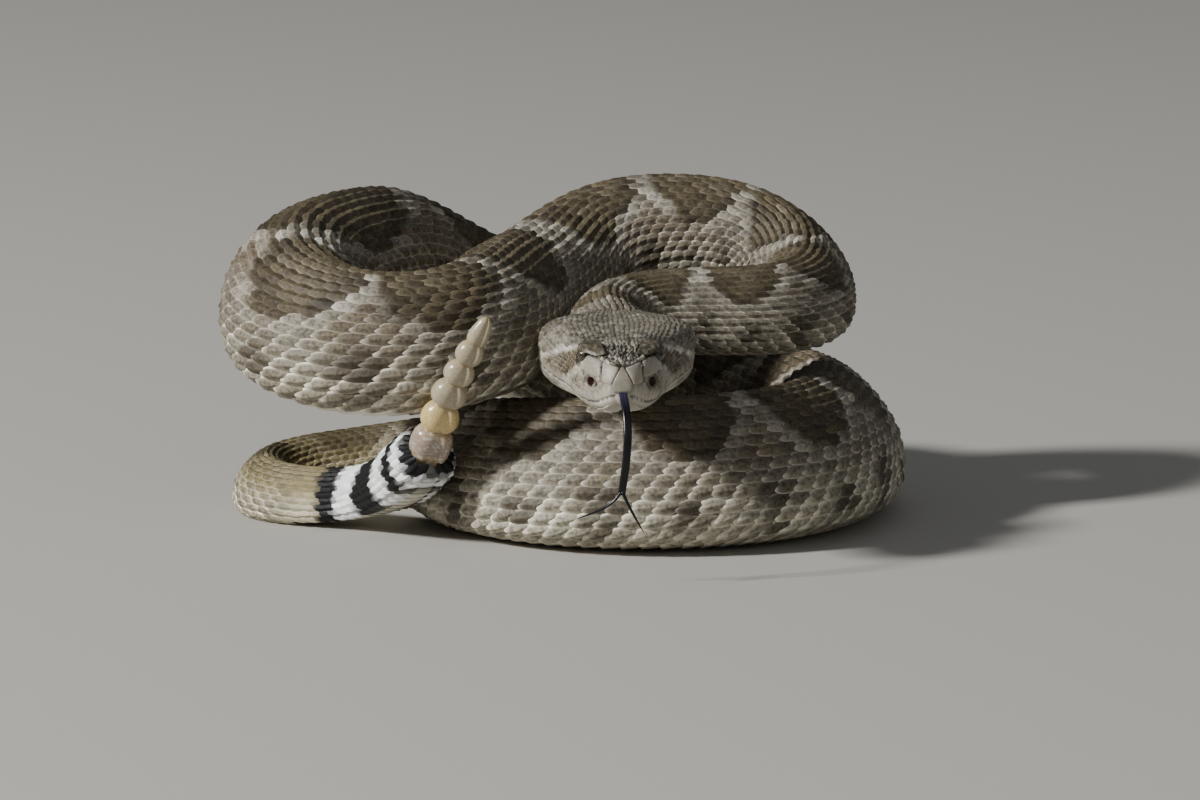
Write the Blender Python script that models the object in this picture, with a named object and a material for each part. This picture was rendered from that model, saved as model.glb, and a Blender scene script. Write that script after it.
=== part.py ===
"""A western diamondback rattlesnake, coiled on the ground in its defensive pose.

The body is one tube swept along a chain of flat bends, which climb and fall between the
heights given for each, and it is parted by thin cuts into the lengths that have names.
Sizes are in millimetres down to the meshes, which are in metres.
The animal faces -Y, with +Z up and the floor at z = 0.
"""

import math

import bmesh
import bpy
from mathutils import Matrix, Vector

MM = 0.001
UP = Vector((0.0, 0.0, 1.0))

GAP = 0.3           # clear space between two touching nodes
RING_STEP = 7.6     # distance between two rings of the body
RING_SIDES = 20     # points round the body
FLAT_DEPTH = 1.0    # how far the belly is pressed flat where it lies on the floor
FOOTPRINT = (0.83, 34.26)    # middle of the coil's box, which becomes the origin

# The body from the nape to the tail, as bends seen from above:
# name, centre x, centre y, radius, start angle, end angle, start height, end height.
BENDS = [
    ("neck", 25.0, 14.0, 15.5, 188, 98, 55.3, 57.0),
    ("right_loop_near", 46.2, 53.0, 20.3, -84, -5, 55.8, 56.2),
    ("right_loop_far", 46.2, 53.0, 20.3, 5, 88, 58.5, 72.0),
    ("slope_top", 19.0, 49.5, 24.0, 98, 126, 71.2, 67.2),
    ("slope", 19.0, 49.5, 24.0, 130, 168, 66.5, 59.0),
    ("left_loop_near", -43.8, 30.5, 27.0, 14, -85, 57.0, 50.8),
    ("left_loop_left", -43.8, 30.5, 27.0, -95, -150, 50.8, 54.0),
    ("left_loop_far", -43.8, 30.5, 27.0, -158, -200, 55.5, 65.0),
    ("rear_high", 8.0, 40.0, 64.0, 148, 94, 66.0, 32.0),
    ("rear_low", 11.5, 50.5, 60.0, 84, 8, 29.0, 14.0),
    ("ground", 21.5, 46.5, 47.5, -4, -172, 15.0, 15.0),
    ("hind_turn", -49.5, 45.0, 24.0, 4, 100, 12.0, 8.0),
    ("tail_turn", -64.0, 49.0, 17.0, 106, 262, 8.0, 7.0),
]
NAPE_ROUTE = [(13.9, -1.0, 53.6), (13.3, 5.0, 54.2)]
TAIL_ROUTE = [(-53.0, 28.0, 8.0), (-45.2, 15.1, 12.4), (-37.9, 1.6, 20.6), (-34.2, -6.4, 26.0)]
SMOOTHING = 14      # passes that ease one bend into the next
NECK_EASE = 16.0    # distance over which the neck turns out of the head's own direction

# Thickness of the body along its length from the nape, in the order distance, thickness.
GIRTHS = [
    (0, 20.5), (15, 21.8), (35, 23.5), (60, 24.5), (90, 27.0), (120, 30.5), (150, 33.5),
    (180, 35.5), (210, 37.5), (260, 39.5), (350, 39.0), (430, 41.0), (490, 42.0), (560, 41.5),
    (590, 41.0), (612, 39.5), (632, 36.5), (650, 31.5), (665, 27.0), (685, 22.0), (720, 18.5),
    (745, 16.0), (763, 14.2), (773, 15.0), (785, 17.8), (797, 18.2), (805, 15.8), (812, 11.0),
]
LOAF_WIDTH = 1.04   # a resting body is a little wider than it is high
LOAF_HEIGHT = 0.97
SAG_RAISED = 0.12   # how far a raised coil's widest level drops below its middle
SAG_RESTING = 0.32  # the same where the body lies on the floor
SAG_FADE = 12.0     # height over which a coil changes from resting to raised

# The head, in its own frame: y from the tip of the snout back, z up from the lips' front edge.
SNOUT = (15.9, -50.7, 48.7)     # where the frame's origin sits
HEAD_LENGTH = 50.0
HEAD_YAW = math.radians(2.3)    # the snout turns a little towards +X
HEAD_PITCH = math.radians(5.5)  # and points a little downwards
HEAD_WIDTHS = [
    (0.0, 7.2), (1.0, 9.8), (3.0, 12.8), (6.0, 16.2), (10.0, 20.4), (14.0, 23.5), (18.0, 25.6),
    (22.0, 28.5), (27.0, 35.0), (32.0, 39.6), (36.0, 41.0), (40.0, 39.6), (44.0, 34.5),
    (48.0, 25.5), (50.0, 21.5),
]
HEAD_TOPS = [
    (0.0, 4.2), (1.0, 5.9), (3.0, 7.0), (8.0, 8.0), (14.0, 9.2), (20.0, 9.9), (28.0, 10.4),
    (36.0, 10.4), (44.0, 9.9), (50.0, 10.0),
]
HEAD_UNDERSIDES = [
    (0.0, -2.6), (1.0, -4.8), (3.0, -6.2), (8.0, -7.6), (14.0, -8.4), (20.0, -8.9),
    (30.0, -9.4), (38.0, -9.6), (44.0, -9.8), (50.0, -10.0),
]
HEAD_WIDEST = [(0.0, 0.6), (14.0, 0.0), (28.0, 1.2), (40.0, 1.4), (50.0, 0.0)]
HEAD_SQUARENESS = [(0.0, 2.5), (4.0, 2.9), (14.0, 3.0), (22.0, 3.0), (28.0, 3.8), (34.0, 4.4),
                   (41.0, 4.0), (50.0, 2.05)]
JAW_SQUARENESS = [(0.0, 2.5), (4.0, 2.9), (14.0, 2.9), (24.0, 2.7), (38.0, 2.9), (50.0, 2.05)]
PARTING = [(16.0, 0.0), (26.0, 0.8), (40.0, 0.8), (48.0, 0.0)]  # the hollow between the temples
PARTING_REACH = 6.5
HEAD_STATIONS = [0.0, 0.5, 1.5, 3.0, 5.0, 7.5, 10.0, 12.5, 15.0, 18.0, 21.0, 24.0, 27.0, 30.0,
                 33.0, 36.0, 39.0, 42.0, 45.0, 47.5, HEAD_LENGTH]
HEAD_SIDES = 28
BROW = (8.8, 13.0, 8.8)         # the ridge over the eye, mirrored for the other side
BROW_RISE = 1.0
BROW_REACH = 3.6
MOUTH = [
    (-2.0, 0.4), (0.0, 0.0), (2.0, -1.7), (5.0, -3.1), (9.0, -3.8), (14.0, -4.0),
    (20.0, -3.5), (26.0, -2.5), (32.0, -1.2), (39.0, -0.2),
]
JAW_BACK = 39.0
EYE = (9.2, 13.5, 6.2)
EYE_RADIUS = 2.7

TONGUE_ROUTE = [(15.9, -49.6, 48.3), (16.2, -52.5, 47.6), (16.9, -56.5, 44.3), (17.2, -59.0, 39.0),
                (16.8, -59.6, 32.5), (16.1, -59.4, 27.5), (15.6, -59.0, 24.0)]
TONGUE_TIPS = {
    "left": [(15.5, -59.0, 24.8), (13.8, -59.0, 22.3), (10.2, -58.8, 20.0), (4.3, -58.5, 17.8)],
    "right": [(15.8, -59.0, 24.8), (17.2, -59.0, 21.6), (19.2, -58.8, 17.8), (21.4, -58.5, 14.0)],
}
TONGUE_WIDTH = 2.2
TONGUE_THICKNESS = 1.3
TONGUE_TIP_WIDTHS = [(0.0, 1.3), (0.6, 0.9), (1.0, 0.5)]

# The rattle: places of its segments' middles, then each one's width and its length.
RATTLE_ROUTE = [(-32.9, -8.6, 29.3), (-30.7, -12.9, 36.2), (-28.3, -16.6, 43.3),
                (-25.6, -19.4, 48.6), (-22.9, -21.6, 54.0), (-20.2, -23.0, 59.6)]
RATTLE_WIDTHS = [10.8, 10.0, 9.3, 8.0, 7.2, 5.4]
RATTLE_DEPTH = 0.66     # a segment's thickness for its width
RATTLE_GROOVE = 0.13    # how deep the groove down each broad face is, for half the thickness
RATTLE_PROFILE = [(0.0, 0.62), (0.14, 0.88), (0.38, 1.0), (0.62, 0.96), (0.84, 0.78), (1.0, 0.58)]
RATTLE_TIP_PROFILE = [(0.0, 0.72), (0.14, 0.98), (0.3, 1.0), (0.5, 0.84), (0.75, 0.62), (0.92, 0.42),
                      (1.0, 0.2)]
RATTLE_SIDES = 16
RATTLE_ROOT = 1.0       # from the end of the tail's flesh to the first segment
RATTLE_GAP = 0.5        # along the rattle, which leaves GAP where its line bends

# Where the cuts fall, as distances from the nape, and the name of the length before each.
LENGTHS = [
    ("neck", 46), ("trunk_1", 96), ("trunk_2", 146), ("trunk_3", 205), ("trunk_4", 258),
    ("trunk_5", 312), ("trunk_6", 378), ("trunk_7", 446), ("trunk_8", 512), ("trunk_9", 562),
    ("trunk_10", 612), ("trunk_11", 664), ("tail_base", 726), ("tail", None),
]

COLOURS = {
    "hide": (0.30, 0.27, 0.20), "hide_pale": (0.38, 0.35, 0.27), "tail": (0.55, 0.55, 0.52),
    "eye": (0.16, 0.12, 0.06), "tongue": (0.01, 0.01, 0.015), "rattle": (0.55, 0.45, 0.28),
}


def colour_material(name, roughness):
    """One plain surface for a sub-part."""
    material = bpy.data.materials.new(name)
    material.use_nodes = True
    shader = material.node_tree.nodes["Principled BSDF"]
    shader.inputs["Base Color"].default_value = (*COLOURS[name], 1.0)
    shader.inputs["Roughness"].default_value = roughness
    shader.inputs["Metallic"].default_value = 0.0
    return material


def between(table, position):
    """Read a value from a list of (position, value) pairs, straight between its entries."""
    for (start, low), (end, high) in zip(table, table[1:]):
        if position <= end:
            part = max(0.0, (position - start) / (end - start))
            return low + (high - low) * part
    return table[-1][1]


def eased(table, position):
    """The same, with the corners of the list rounded by averaging over a short window."""
    window = 12.0
    samples = [between(table, position + window * (step / 4.0 - 1.0)) for step in range(9)]
    return sum(samples) / len(samples)


# ---- the line of the body ----------------------------------------------------------------

def bend_points():
    """Points along the chain of bends, from the nape to the root of the rattle."""
    points = [Vector(place) for place in NAPE_ROUTE]
    for _, centre_x, centre_y, radius, start, end, low, high in BENDS:
        count = max(3, round(abs(end - start) / 12.0))
        for step in range(count + 1):
            part = step / count
            angle = math.radians(start + (end - start) * part)
            points.append(Vector((centre_x + radius * math.cos(angle),
                                  centre_y + radius * math.sin(angle),
                                  low + (high - low) * part)))
    points.extend(Vector(place) for place in TAIL_ROUTE)
    return points


def evenly_spaced(points, step):
    """The same line with its points a fixed distance apart, and its length."""
    lengths = [0.0]
    for before, after in zip(points, points[1:]):
        lengths.append(lengths[-1] + (after - before).length)
    count = round(lengths[-1] / step)
    spaced = []
    index = 0
    for number in range(count + 1):
        distance = lengths[-1] * number / count
        while index < len(points) - 2 and lengths[index + 1] < distance:
            index += 1
        span = lengths[index + 1] - lengths[index]
        spaced.append(points[index].lerp(points[index + 1], (distance - lengths[index]) / span))
    return spaced, lengths[-1]


def body_line():
    """The body's centre line as closely spaced points, eased and lifted clear of the floor."""
    points, _ = evenly_spaced(bend_points(), 4.0)
    for _ in range(SMOOTHING):
        middles = [(before + 2.0 * point + after) / 4.0
                   for before, point, after in zip(points, points[1:], points[2:])]
        points = [points[0], *middles, points[-1]]
    points, length = evenly_spaced(points, 2.0)
    step = length / (len(points) - 1)
    for number, point in enumerate(points):
        floor_height = LOAF_HEIGHT * eased(GIRTHS, number * step) / 2.0 - FLAT_DEPTH
        point.z = max(point.z, floor_height)
    return points, step


class BodyLine:
    """The centre line with a direction and an upright cross-section at every distance."""

    def __init__(self):
        self.points, self.step = body_line()
        self.length = self.step * (len(self.points) - 1)

    def at(self, distance):
        """Centre, direction, side and back at this distance from the nape."""
        place = min(max(distance / self.step, 0.0), len(self.points) - 1.001)
        index = int(place)
        centre = self.points[index].lerp(self.points[index + 1], place - index)
        low = max(index - 1, 0)
        high = min(index + 2, len(self.points) - 1)
        along = (self.points[high] - self.points[low]).normalized()
        if distance < NECK_EASE:
            head_axis = head_frame().to_3x3() @ Vector((0.0, 1.0, 0.0))
            along = head_axis.lerp(along, max(distance, 0.0) / NECK_EASE).normalized()
        side = UP.cross(along).normalized()
        return centre, along, side, along.cross(side)

    def ring(self, distance, shift=0.0):
        """Points round the body at this distance, moved along it by a small shift."""
        centre, along, side, back = self.at(distance)
        girth = eased(GIRTHS, distance)
        lift = centre.z - (LOAF_HEIGHT * girth / 2.0 - FLAT_DEPTH)
        resting = min(max(1.0 - lift / SAG_FADE, 0.0), 1.0)
        sag = SAG_RAISED + (SAG_RESTING - SAG_RAISED) * resting
        points = []
        for number in range(RING_SIDES):
            across, up = loaf_outline(math.tau * (number + 0.5) / RING_SIDES, sag)
            point = centre + along * shift + side * (across * girth) + back * (up * girth)
            point.z = max(point.z, 0.0)
            points.append(point)
        return points


def loaf_outline(angle, sag):
    """A point on the body's outline, per unit of girth: an arch that widens low down."""
    widest = 1.0 + 0.42 * sag * sag
    across = 0.5 * LOAF_WIDTH * math.cos(angle) * (1.0 - sag * math.sin(angle)) / widest
    height = math.sin(angle)
    if height < 0.0:
        height = -abs(height) ** 0.78
    return across, 0.5 * LOAF_HEIGHT * height


# ---- meshes --------------------------------------------------------------------------------

def loft(rings, closed_start=True, closed_end=True):
    """A closed mesh through rings of points that all have the same count."""
    mesh = bmesh.new()
    rows = [[mesh.verts.new(point * MM) for point in ring] for ring in rings]
    count = len(rows[0])
    for before, after in zip(rows, rows[1:]):
        for number in range(count):
            following = (number + 1) % count
            mesh.faces.new((before[number], before[following], after[following], after[number]))
    if closed_start:
        mesh.faces.new(rows[0][::-1])
    if closed_end:
        mesh.faces.new(rows[-1])
    bmesh.ops.recalc_face_normals(mesh, faces=mesh.faces)
    return mesh


def add_object(name, mesh, material, crease=50.0):
    """Turn a bmesh into a named object with one material and smooth shading."""
    data = bpy.data.meshes.new(name)
    mesh.to_mesh(data)
    mesh.free()
    data.materials.append(material)
    data.shade_smooth()
    data.set_sharp_from_angle(angle=math.radians(crease))
    item = bpy.data.objects.new(name, data)
    item.location = (-FOOTPRINT[0] * MM, -FOOTPRINT[1] * MM, 0.0)
    bpy.context.collection.objects.link(item)
    return item


def cut(target, cutter):
    """Take one object's shape out of another, and keep the cutter out of the model."""
    cutter.hide_render = True
    cutter.display_type = "WIRE"
    modifier = target.modifiers.new("cut", "BOOLEAN")
    modifier.operation = "DIFFERENCE"
    modifier.solver = "EXACT"
    modifier.object = cutter


def keep_within(target, shape):
    """Keep only what lies inside another shape."""
    shape.hide_render = True
    shape.display_type = "WIRE"
    modifier = target.modifiers.new("keep", "BOOLEAN")
    modifier.operation = "INTERSECT"
    modifier.solver = "EXACT"
    modifier.object = shape


def build_body(line, hide, tail_skin):
    """The neck, the trunk's lengths and the tail, parted by thin cuts."""
    start = 0.0
    for name, end in LENGTHS:
        stop = line.length if end is None else end
        count = max(2, round((stop - start) / RING_STEP))
        rings = []
        for number in range(count + 1):
            shift = 0.0
            if number == 0:
                shift = GAP / 2.0
            if number == count:
                shift = -GAP / 2.0
            rings.append(line.ring(start + (stop - start) * number / count, shift))
        material = tail_skin if name == "tail" else hide
        add_object(name, loft(rings), material)
        start = stop


# ---- the head ------------------------------------------------------------------------------

def head_frame():
    """From the head's own frame to the model's."""
    turn = Matrix.Rotation(HEAD_YAW, 4, "Z") @ Matrix.Rotation(HEAD_PITCH, 4, "X")
    return Matrix.Translation(Vector(SNOUT)) @ turn


def head_point(station, angle):
    """A point on the head's surface: a rounded box section that follows the head's tables."""
    middle = between(HEAD_WIDEST, station)
    top = eased_short(HEAD_TOPS, station) - middle
    bottom = middle - eased_short(HEAD_UNDERSIDES, station)
    cosine, sine = math.cos(angle), math.sin(angle)
    power = 2.0 / between(HEAD_SQUARENESS if sine > 0.0 else JAW_SQUARENESS, station)
    across = 0.5 * eased_short(HEAD_WIDTHS, station) * math.copysign(abs(cosine) ** power, cosine)
    height = (top if sine > 0.0 else bottom) * math.copysign(abs(sine) ** power, sine)
    if sine > 0.0:
        height -= between(PARTING, station) * math.exp(-(across / PARTING_REACH) ** 2)
    point = Vector((across, station, middle + height))
    for side in (-1.0, 1.0):
        ridge = Vector((BROW[0] * side, BROW[1], BROW[2]))
        nearness = math.exp(-((point - ridge).length / BROW_REACH) ** 2)
        point += Vector((0.55 * side, 0.0, 0.84)) * (BROW_RISE * nearness)
    return point


def eased_short(table, station):
    """A value from one of the head's tables, with its corners rounded."""
    window = min(1.5, station, HEAD_LENGTH - station)
    samples = [between(table, station + window * step / 2.0) for step in range(-2, 3)]
    return sum(samples) / len(samples)


def whole_head():
    """The head as one closed mesh, before the mouth is cut."""
    frame = head_frame()
    rings = []
    for station in HEAD_STATIONS:
        place = station if station < HEAD_LENGTH else HEAD_LENGTH - GAP / 2.0
        angles = [math.tau * (number + 0.5) / HEAD_SIDES for number in range(HEAD_SIDES)]
        rings.append([frame @ head_point(place, angle) for angle in angles])
    return loft(rings)


def below_the_mouth(drop):
    """A block that holds everything under the line of the mouth, lowered by a clearance."""
    outline = [(station, height - drop) for station, height in MOUTH]
    outline = [(station, height) for station, height in outline if station < JAW_BACK - drop]
    back_height = between(MOUTH, JAW_BACK - drop) - drop
    outline += [(JAW_BACK - drop, back_height), (JAW_BACK - drop, -16.0), (-2.0, -16.0)]
    frame = head_frame()
    rings = [[frame @ Vector((across, station, height)) for station, height in outline]
             for across in (-30.0, 30.0)]
    return loft(rings)


def build_head(hide, eye_material, tongue_material):
    """The head and its lower jaw, parted along the mouth, with the eyes in sockets."""
    head = add_object("head", whole_head(), hide)
    cut(head, add_object("cutter_mouth", below_the_mouth(0.0), hide))
    jaw = add_object("lower_jaw", whole_head(), hide)
    keep_within(jaw, add_object("cutter_jaw", below_the_mouth(GAP), hide))
    frame = head_frame()
    for name, side in (("eye_left", 1.0), ("eye_right", -1.0)):
        centre = frame @ Vector((EYE[0] * side, EYE[1], EYE[2]))
        add_object(name, ball(centre, EYE_RADIUS, 14), eye_material)
        cut(head, add_object("cutter_" + name, ball(centre, EYE_RADIUS + GAP, 14), eye_material))
    sleeve = tongue_stem(1.4 * GAP)
    cut(head, add_object("cutter_tongue_above", sleeve.copy(), hide))
    cut(jaw, add_object("cutter_tongue_below", sleeve, hide))
    build_tongue(tongue_material)


def ball(centre, radius, segments):
    """A sphere in millimetres, as a metre-sized mesh."""
    mesh = bmesh.new()
    bmesh.ops.create_uvsphere(mesh, u_segments=segments, v_segments=segments // 2 + 2,
                              radius=radius * MM, matrix=Matrix.Translation(centre * MM))
    return mesh


def ribbon(route, widths, thicknesses, flat_side, sides=10):
    """A flat round-edged strip along a route, with its width towards the given side."""
    points, _ = evenly_spaced([Vector(place) for place in route], 1.0)
    for _ in range(4):
        middles = [(before + 2.0 * point + after) / 4.0
                   for before, point, after in zip(points, points[1:], points[2:])]
        points = [points[0], *middles, points[-1]]
    points = evenly_spaced(points, 2.4)[0]
    rings = []
    for number, point in enumerate(points):
        before = points[max(number - 1, 0)]
        after = points[min(number + 1, len(points) - 1)]
        along = (after - before).normalized()
        across = (flat_side - along * flat_side.dot(along)).normalized()
        depth = across.cross(along)
        part = number / (len(points) - 1)
        half_width = between(widths, part) / 2.0
        half_depth = between(thicknesses, part) / 2.0
        rings.append([point + across * (half_width * math.cos(math.tau * step / sides))
                      + depth * (half_depth * math.sin(math.tau * step / sides))
                      for step in range(sides)])
    return loft(rings)


def tongue_stem(clearance):
    """The tongue from the mouth to its fork, grown on every side by a clearance."""
    route = TONGUE_ROUTE
    if clearance > 0.0:
        inner = Vector(route[0]) + Vector((0.0, 2.0 * clearance, 0.0))
        route = [tuple(inner), *route[1:]]
    width = TONGUE_WIDTH + 2.0 * clearance
    thickness = TONGUE_THICKNESS + 2.0 * clearance
    return ribbon(route, [(0.0, width), (1.0, width * 0.9)], [(0.0, thickness), (1.0, thickness)],
                  Vector((1.0, 0.0, 0.0)))


def build_tongue(material):
    """The tongue, with its two tips joined to the stem."""
    tongue = add_object("tongue", tongue_stem(0.0), material)
    for name, route in TONGUE_TIPS.items():
        tip = add_object("cutter_tip_" + name,
                         ribbon(route, TONGUE_TIP_WIDTHS, TONGUE_TIP_WIDTHS,
                                Vector((0.0, 1.0, 0.0)), 8), material)
        cut(tongue, tip)
        tongue.modifiers[-1].operation = "UNION"


# ---- the rattle ----------------------------------------------------------------------------

def rattle_section(width, number):
    """A point round a segment: two lobes with a shallow groove down each broad face."""
    angle = math.tau * (number + 0.5) / RATTLE_SIDES
    across = 0.5 * width * math.cos(angle)
    depth = 0.5 * width * RATTLE_DEPTH * math.sin(angle)
    groove = 1.0 - RATTLE_GROOVE * math.exp(-(math.cos(angle) / 0.35) ** 2)
    return across, depth * groove


def build_rattle(line, material):
    """The loose horny segments, each a node of its own, narrowing to the tip."""
    end, along, _, _ = line.at(line.length)
    middles = [Vector(place) for place in RATTLE_ROUTE]
    joints = [end + along * RATTLE_ROOT]
    joints += [before.lerp(after, 0.5) for before, after in zip(middles, middles[1:])]
    joints.append(middles[-1] + (middles[-1] - joints[-1]) * 1.35)
    for number, middle in enumerate(middles):
        low, high = joints[number], joints[number + 1]
        axis = (high - low).normalized()
        across = axis.cross(Vector((0.0, 1.0, 0.0))).normalized()
        depth = across.cross(axis)
        is_tip = number == len(middles) - 1
        rings = []
        for part, size in RATTLE_TIP_PROFILE if is_tip else RATTLE_PROFILE:
            centre = low + axis * RATTLE_GAP / 2.0 + (high - low - axis * RATTLE_GAP) * part
            ring = []
            for step in range(RATTLE_SIDES):
                sideways, forward = rattle_section(RATTLE_WIDTHS[number] * size, step)
                ring.append(centre + across * sideways + depth * forward)
            rings.append(ring)
        add_object(f"rattle_{number + 1}", loft(rings), material)


def main():
    """Clear the scene and build the animal."""
    for item in list(bpy.data.objects):
        bpy.data.objects.remove(item, do_unlink=True)
    line = BodyLine()
    hide = colour_material("hide", 0.6)
    build_body(line, hide, colour_material("tail", 0.6))
    build_head(hide, colour_material("eye", 0.1), colour_material("tongue", 0.3))
    build_rattle(line, colour_material("rattle", 0.35))


main()
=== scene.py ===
"""The looks of a coiled western diamondback rattlesnake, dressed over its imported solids.

One skin stands for all the lengths of flesh. Keeled scales, belly plates and the head's small
scales and plates are solid leaves laid over it, head end over tail end, and they all take
their pigment from the same markings as the skin. Lengths are in millimetres until a mesh is
made, which is in metres. The animal faces -Y.
"""

import functools
import math

import bpy
import numpy as np
from bpy.props import FloatProperty, FloatVectorProperty, IntProperty, PointerProperty
from mathutils import Matrix, Vector
from mathutils.bvhtree import BVHTree


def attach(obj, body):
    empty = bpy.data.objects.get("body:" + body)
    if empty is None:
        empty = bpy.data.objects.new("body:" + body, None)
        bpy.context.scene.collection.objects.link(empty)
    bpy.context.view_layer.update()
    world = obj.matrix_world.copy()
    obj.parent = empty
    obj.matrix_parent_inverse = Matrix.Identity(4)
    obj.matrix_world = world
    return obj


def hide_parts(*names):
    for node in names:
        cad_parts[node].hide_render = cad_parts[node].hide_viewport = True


bl_info = {
    "name": "Coiled rattlesnake",
    "version": (1, 0, 0),
    "blender": (4, 5, 0),
    "location": "View3D > Sidebar > Snake",
    "description": "Skin, scales, eyes, tongue and rattle of a coiled rattlesnake",
    "category": "Object",
}

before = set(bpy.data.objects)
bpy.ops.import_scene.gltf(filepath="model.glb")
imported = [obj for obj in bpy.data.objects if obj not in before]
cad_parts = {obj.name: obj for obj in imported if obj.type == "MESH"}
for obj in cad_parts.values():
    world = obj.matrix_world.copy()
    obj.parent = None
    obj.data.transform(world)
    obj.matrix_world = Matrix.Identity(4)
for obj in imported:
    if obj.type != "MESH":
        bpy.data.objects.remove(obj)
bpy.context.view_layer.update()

MM = 0.001
BAKE_MAP = "OFBake"
BAKE_PATCH = 0.003      # width of one scale's patch on that map
FLESH = ["head", "lower_jaw", "neck", *[f"trunk_{number}" for number in range(1, 12)],
         "tail_base", "tail"]


def linear(code):
    """A linear colour from an sRGB hex code."""
    channels = [int(code[place:place + 2], 16) / 255.0 for place in (1, 3, 5)]
    return tuple(value / 12.92 if value <= 0.04045 else ((value + 0.055) / 1.055) ** 2.4
                 for value in channels)


def size_property(text, millimetres, description):
    """A length that a user may change, in millimetres."""
    return FloatProperty(name=text, default=millimetres, min=0.0, description=description)


def colour_property(text, code, description):
    """A colour that a user may change."""
    return FloatVectorProperty(name=text, subtype="COLOR", size=3, min=0.0, max=1.0,
                               default=linear(code), description=description)


class SnakeSizes(bpy.types.PropertyGroup):
    """Sizes of the skin and of what covers it, in millimetres."""

    coat_depth: size_property("Coat depth", 1.3, "How far the skin lies under the scales' tops")
    scale_rows: IntProperty(name="Scale rows", default=29, min=15, max=35,
                            description="Rows of keeled scales round the middle of the body")
    scale_overlap: FloatProperty(name="Scale overlap", default=1.8, min=1.2, max=2.5,
                                 description="Length of a scale for its distance to the next")
    scale_lift: size_property("Scale lift", 0.75, "How far a scale's tip stands off the skin")
    keel_height: size_property("Keel height", 0.26, "Height of the ridge along each scale")
    head_rows: IntProperty(name="Head rows", default=37, min=21, max=41,
                           description="Rows of small scales over the crown")


class SnakeColours(bpy.types.PropertyGroup):
    """Pigments of the hide, the rattle, the eyes and the tongue."""

    ground: colour_property("Ground", "#837B6E", "Between the diamonds")
    ground_warm: colour_property("Warm ground", "#786C5A", "Brownish scales among the ground")
    border: colour_property("Diamond border", "#C6C0B0", "The pale line round each diamond")
    diamond: colour_property("Diamond", "#5A503A", "The middle of each diamond")
    diamond_edge: colour_property("Diamond edge", "#2C2416", "The dark rim of each diamond")
    spot: colour_property("Side spots", "#3A3024", "Small blotches low on the flanks")
    belly: colour_property("Belly", "#E8E1CA", "Belly plates and the lowest scales")
    belly_shade: colour_property("Belly clouding", "#A0947A", "Soft clouds on the belly plates")
    tail_ground: colour_property("Tail ground", "#8F8259", "The tail ahead of its bands")
    tail_white: colour_property("White bands", "#E6E7E6", "The pale rings of the tail")
    tail_black: colour_property("Black bands", "#0A0A0B", "The dark rings of the tail")
    crown: colour_property("Crown", "#686152", "The top of the head")
    crown_speckle: colour_property("Crown speckle", "#17140F", "Dark grains on the crown")
    cheek: colour_property("Cheek", "#A29A8B", "The sides of the head")
    face_stripe: colour_property("Face stripe", "#C6C0B1", "The pale lines before and behind the eye")
    face_band: colour_property("Face band", "#584C38", "The dark patch behind the eye")
    snout: colour_property("Snout", "#A69D8E", "The plates of the snout")
    lip: colour_property("Lips", "#D0C9BB", "Edges of the mouth and the chin")
    # Pit lining: the membrane's own red, darkened as painted shade inside the pits and nostrils.
    pit: colour_property("Pit lining", "#34120C", "Inside the heat pits")
    # Iris: partly its own grey-brown, partly darker as painted shade under the overhanging brow.
    iris: colour_property("Iris", "#4A4234", "Round the pupil")
    pupil: colour_property("Pupil", "#050505", "The upright slit")
    tongue: colour_property("Tongue", "#08070B", "The forked end")
    tongue_root: colour_property("Tongue root", "#2B2540", "The tongue where it leaves the mouth")
    rattle_base: colour_property("Newest segment", "#9C8A7A", "The segment next to the tail")
    rattle_amber: colour_property("Amber segment", "#CDB47A", "The second segment")
    rattle_pearl: colour_property("Pearl segments", "#AA9E84", "The rest of the rattle")
    paper: colour_property("Studio paper", "#B2AFA8", "Floor and background")


def sizes():
    """The sizes in use."""
    return bpy.context.scene.snake_sizes


def colour(name):
    """One of the pigments in use, as linear numbers."""
    return np.array(getattr(bpy.context.scene.snake_colours, name))


# ---- small tools --------------------------------------------------------------------------------

def smooth(value, low, high):
    """0 below one value, 1 above the other, and a soft rise between them."""
    part = np.clip((np.asarray(value, float) - low) / (high - low), 0.0, 1.0)
    return part * part * (3.0 - 2.0 * part)


def blend(under, over, amount):
    """Lay one colour over another by an amount for each point."""
    amount = np.asarray(amount, float)[..., None]
    return under * (1.0 - amount) + over * amount


def unit(vectors):
    """Vectors of length one."""
    return vectors / np.maximum(np.linalg.norm(vectors, axis=-1, keepdims=True), 1e-9)


def read(table, position):
    """Read a value from a list of (position, value) pairs, straight between its entries."""
    places, values = zip(*table)
    return np.interp(position, places, values)


def lengths_along(points):
    """How far along a line each of its points lies."""
    return np.r_[0.0, np.cumsum(np.linalg.norm(np.diff(points, axis=0), axis=1))]


def between(table, row, column):
    """Values of a table at places between its rows and columns, straight from one to the next."""
    low = np.clip(np.asarray(row).astype(int), 0, table.shape[0] - 2)
    left = np.clip(np.asarray(column).astype(int), 0, table.shape[1] - 2)
    down, over = np.asarray(row - low), np.asarray(column - left)
    if table.ndim == 3:
        down, over = down[..., None], over[..., None]
    first = table[low, left] * (1.0 - over) + table[low, left + 1] * over
    second = table[low + 1, left] * (1.0 - over) + table[low + 1, left + 1] * over
    return first * (1.0 - down) + second * down


def evenly_spaced(points, step):
    """The same line with its points a fixed distance apart, and its length."""
    lengths = lengths_along(points)
    places = np.linspace(0.0, lengths[-1], round(lengths[-1] / step) + 1)
    spaced = [np.interp(places, lengths, points[:, axis]) for axis in range(3)]
    return np.stack(spaced, axis=1), lengths[-1]


def eased_line(points, passes):
    """A line with its corners rounded."""
    for _ in range(passes):
        points = points.copy()
        points[1:-1] = (points[:-2] + 2.0 * points[1:-1] + points[2:]) / 4.0
    return points


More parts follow.
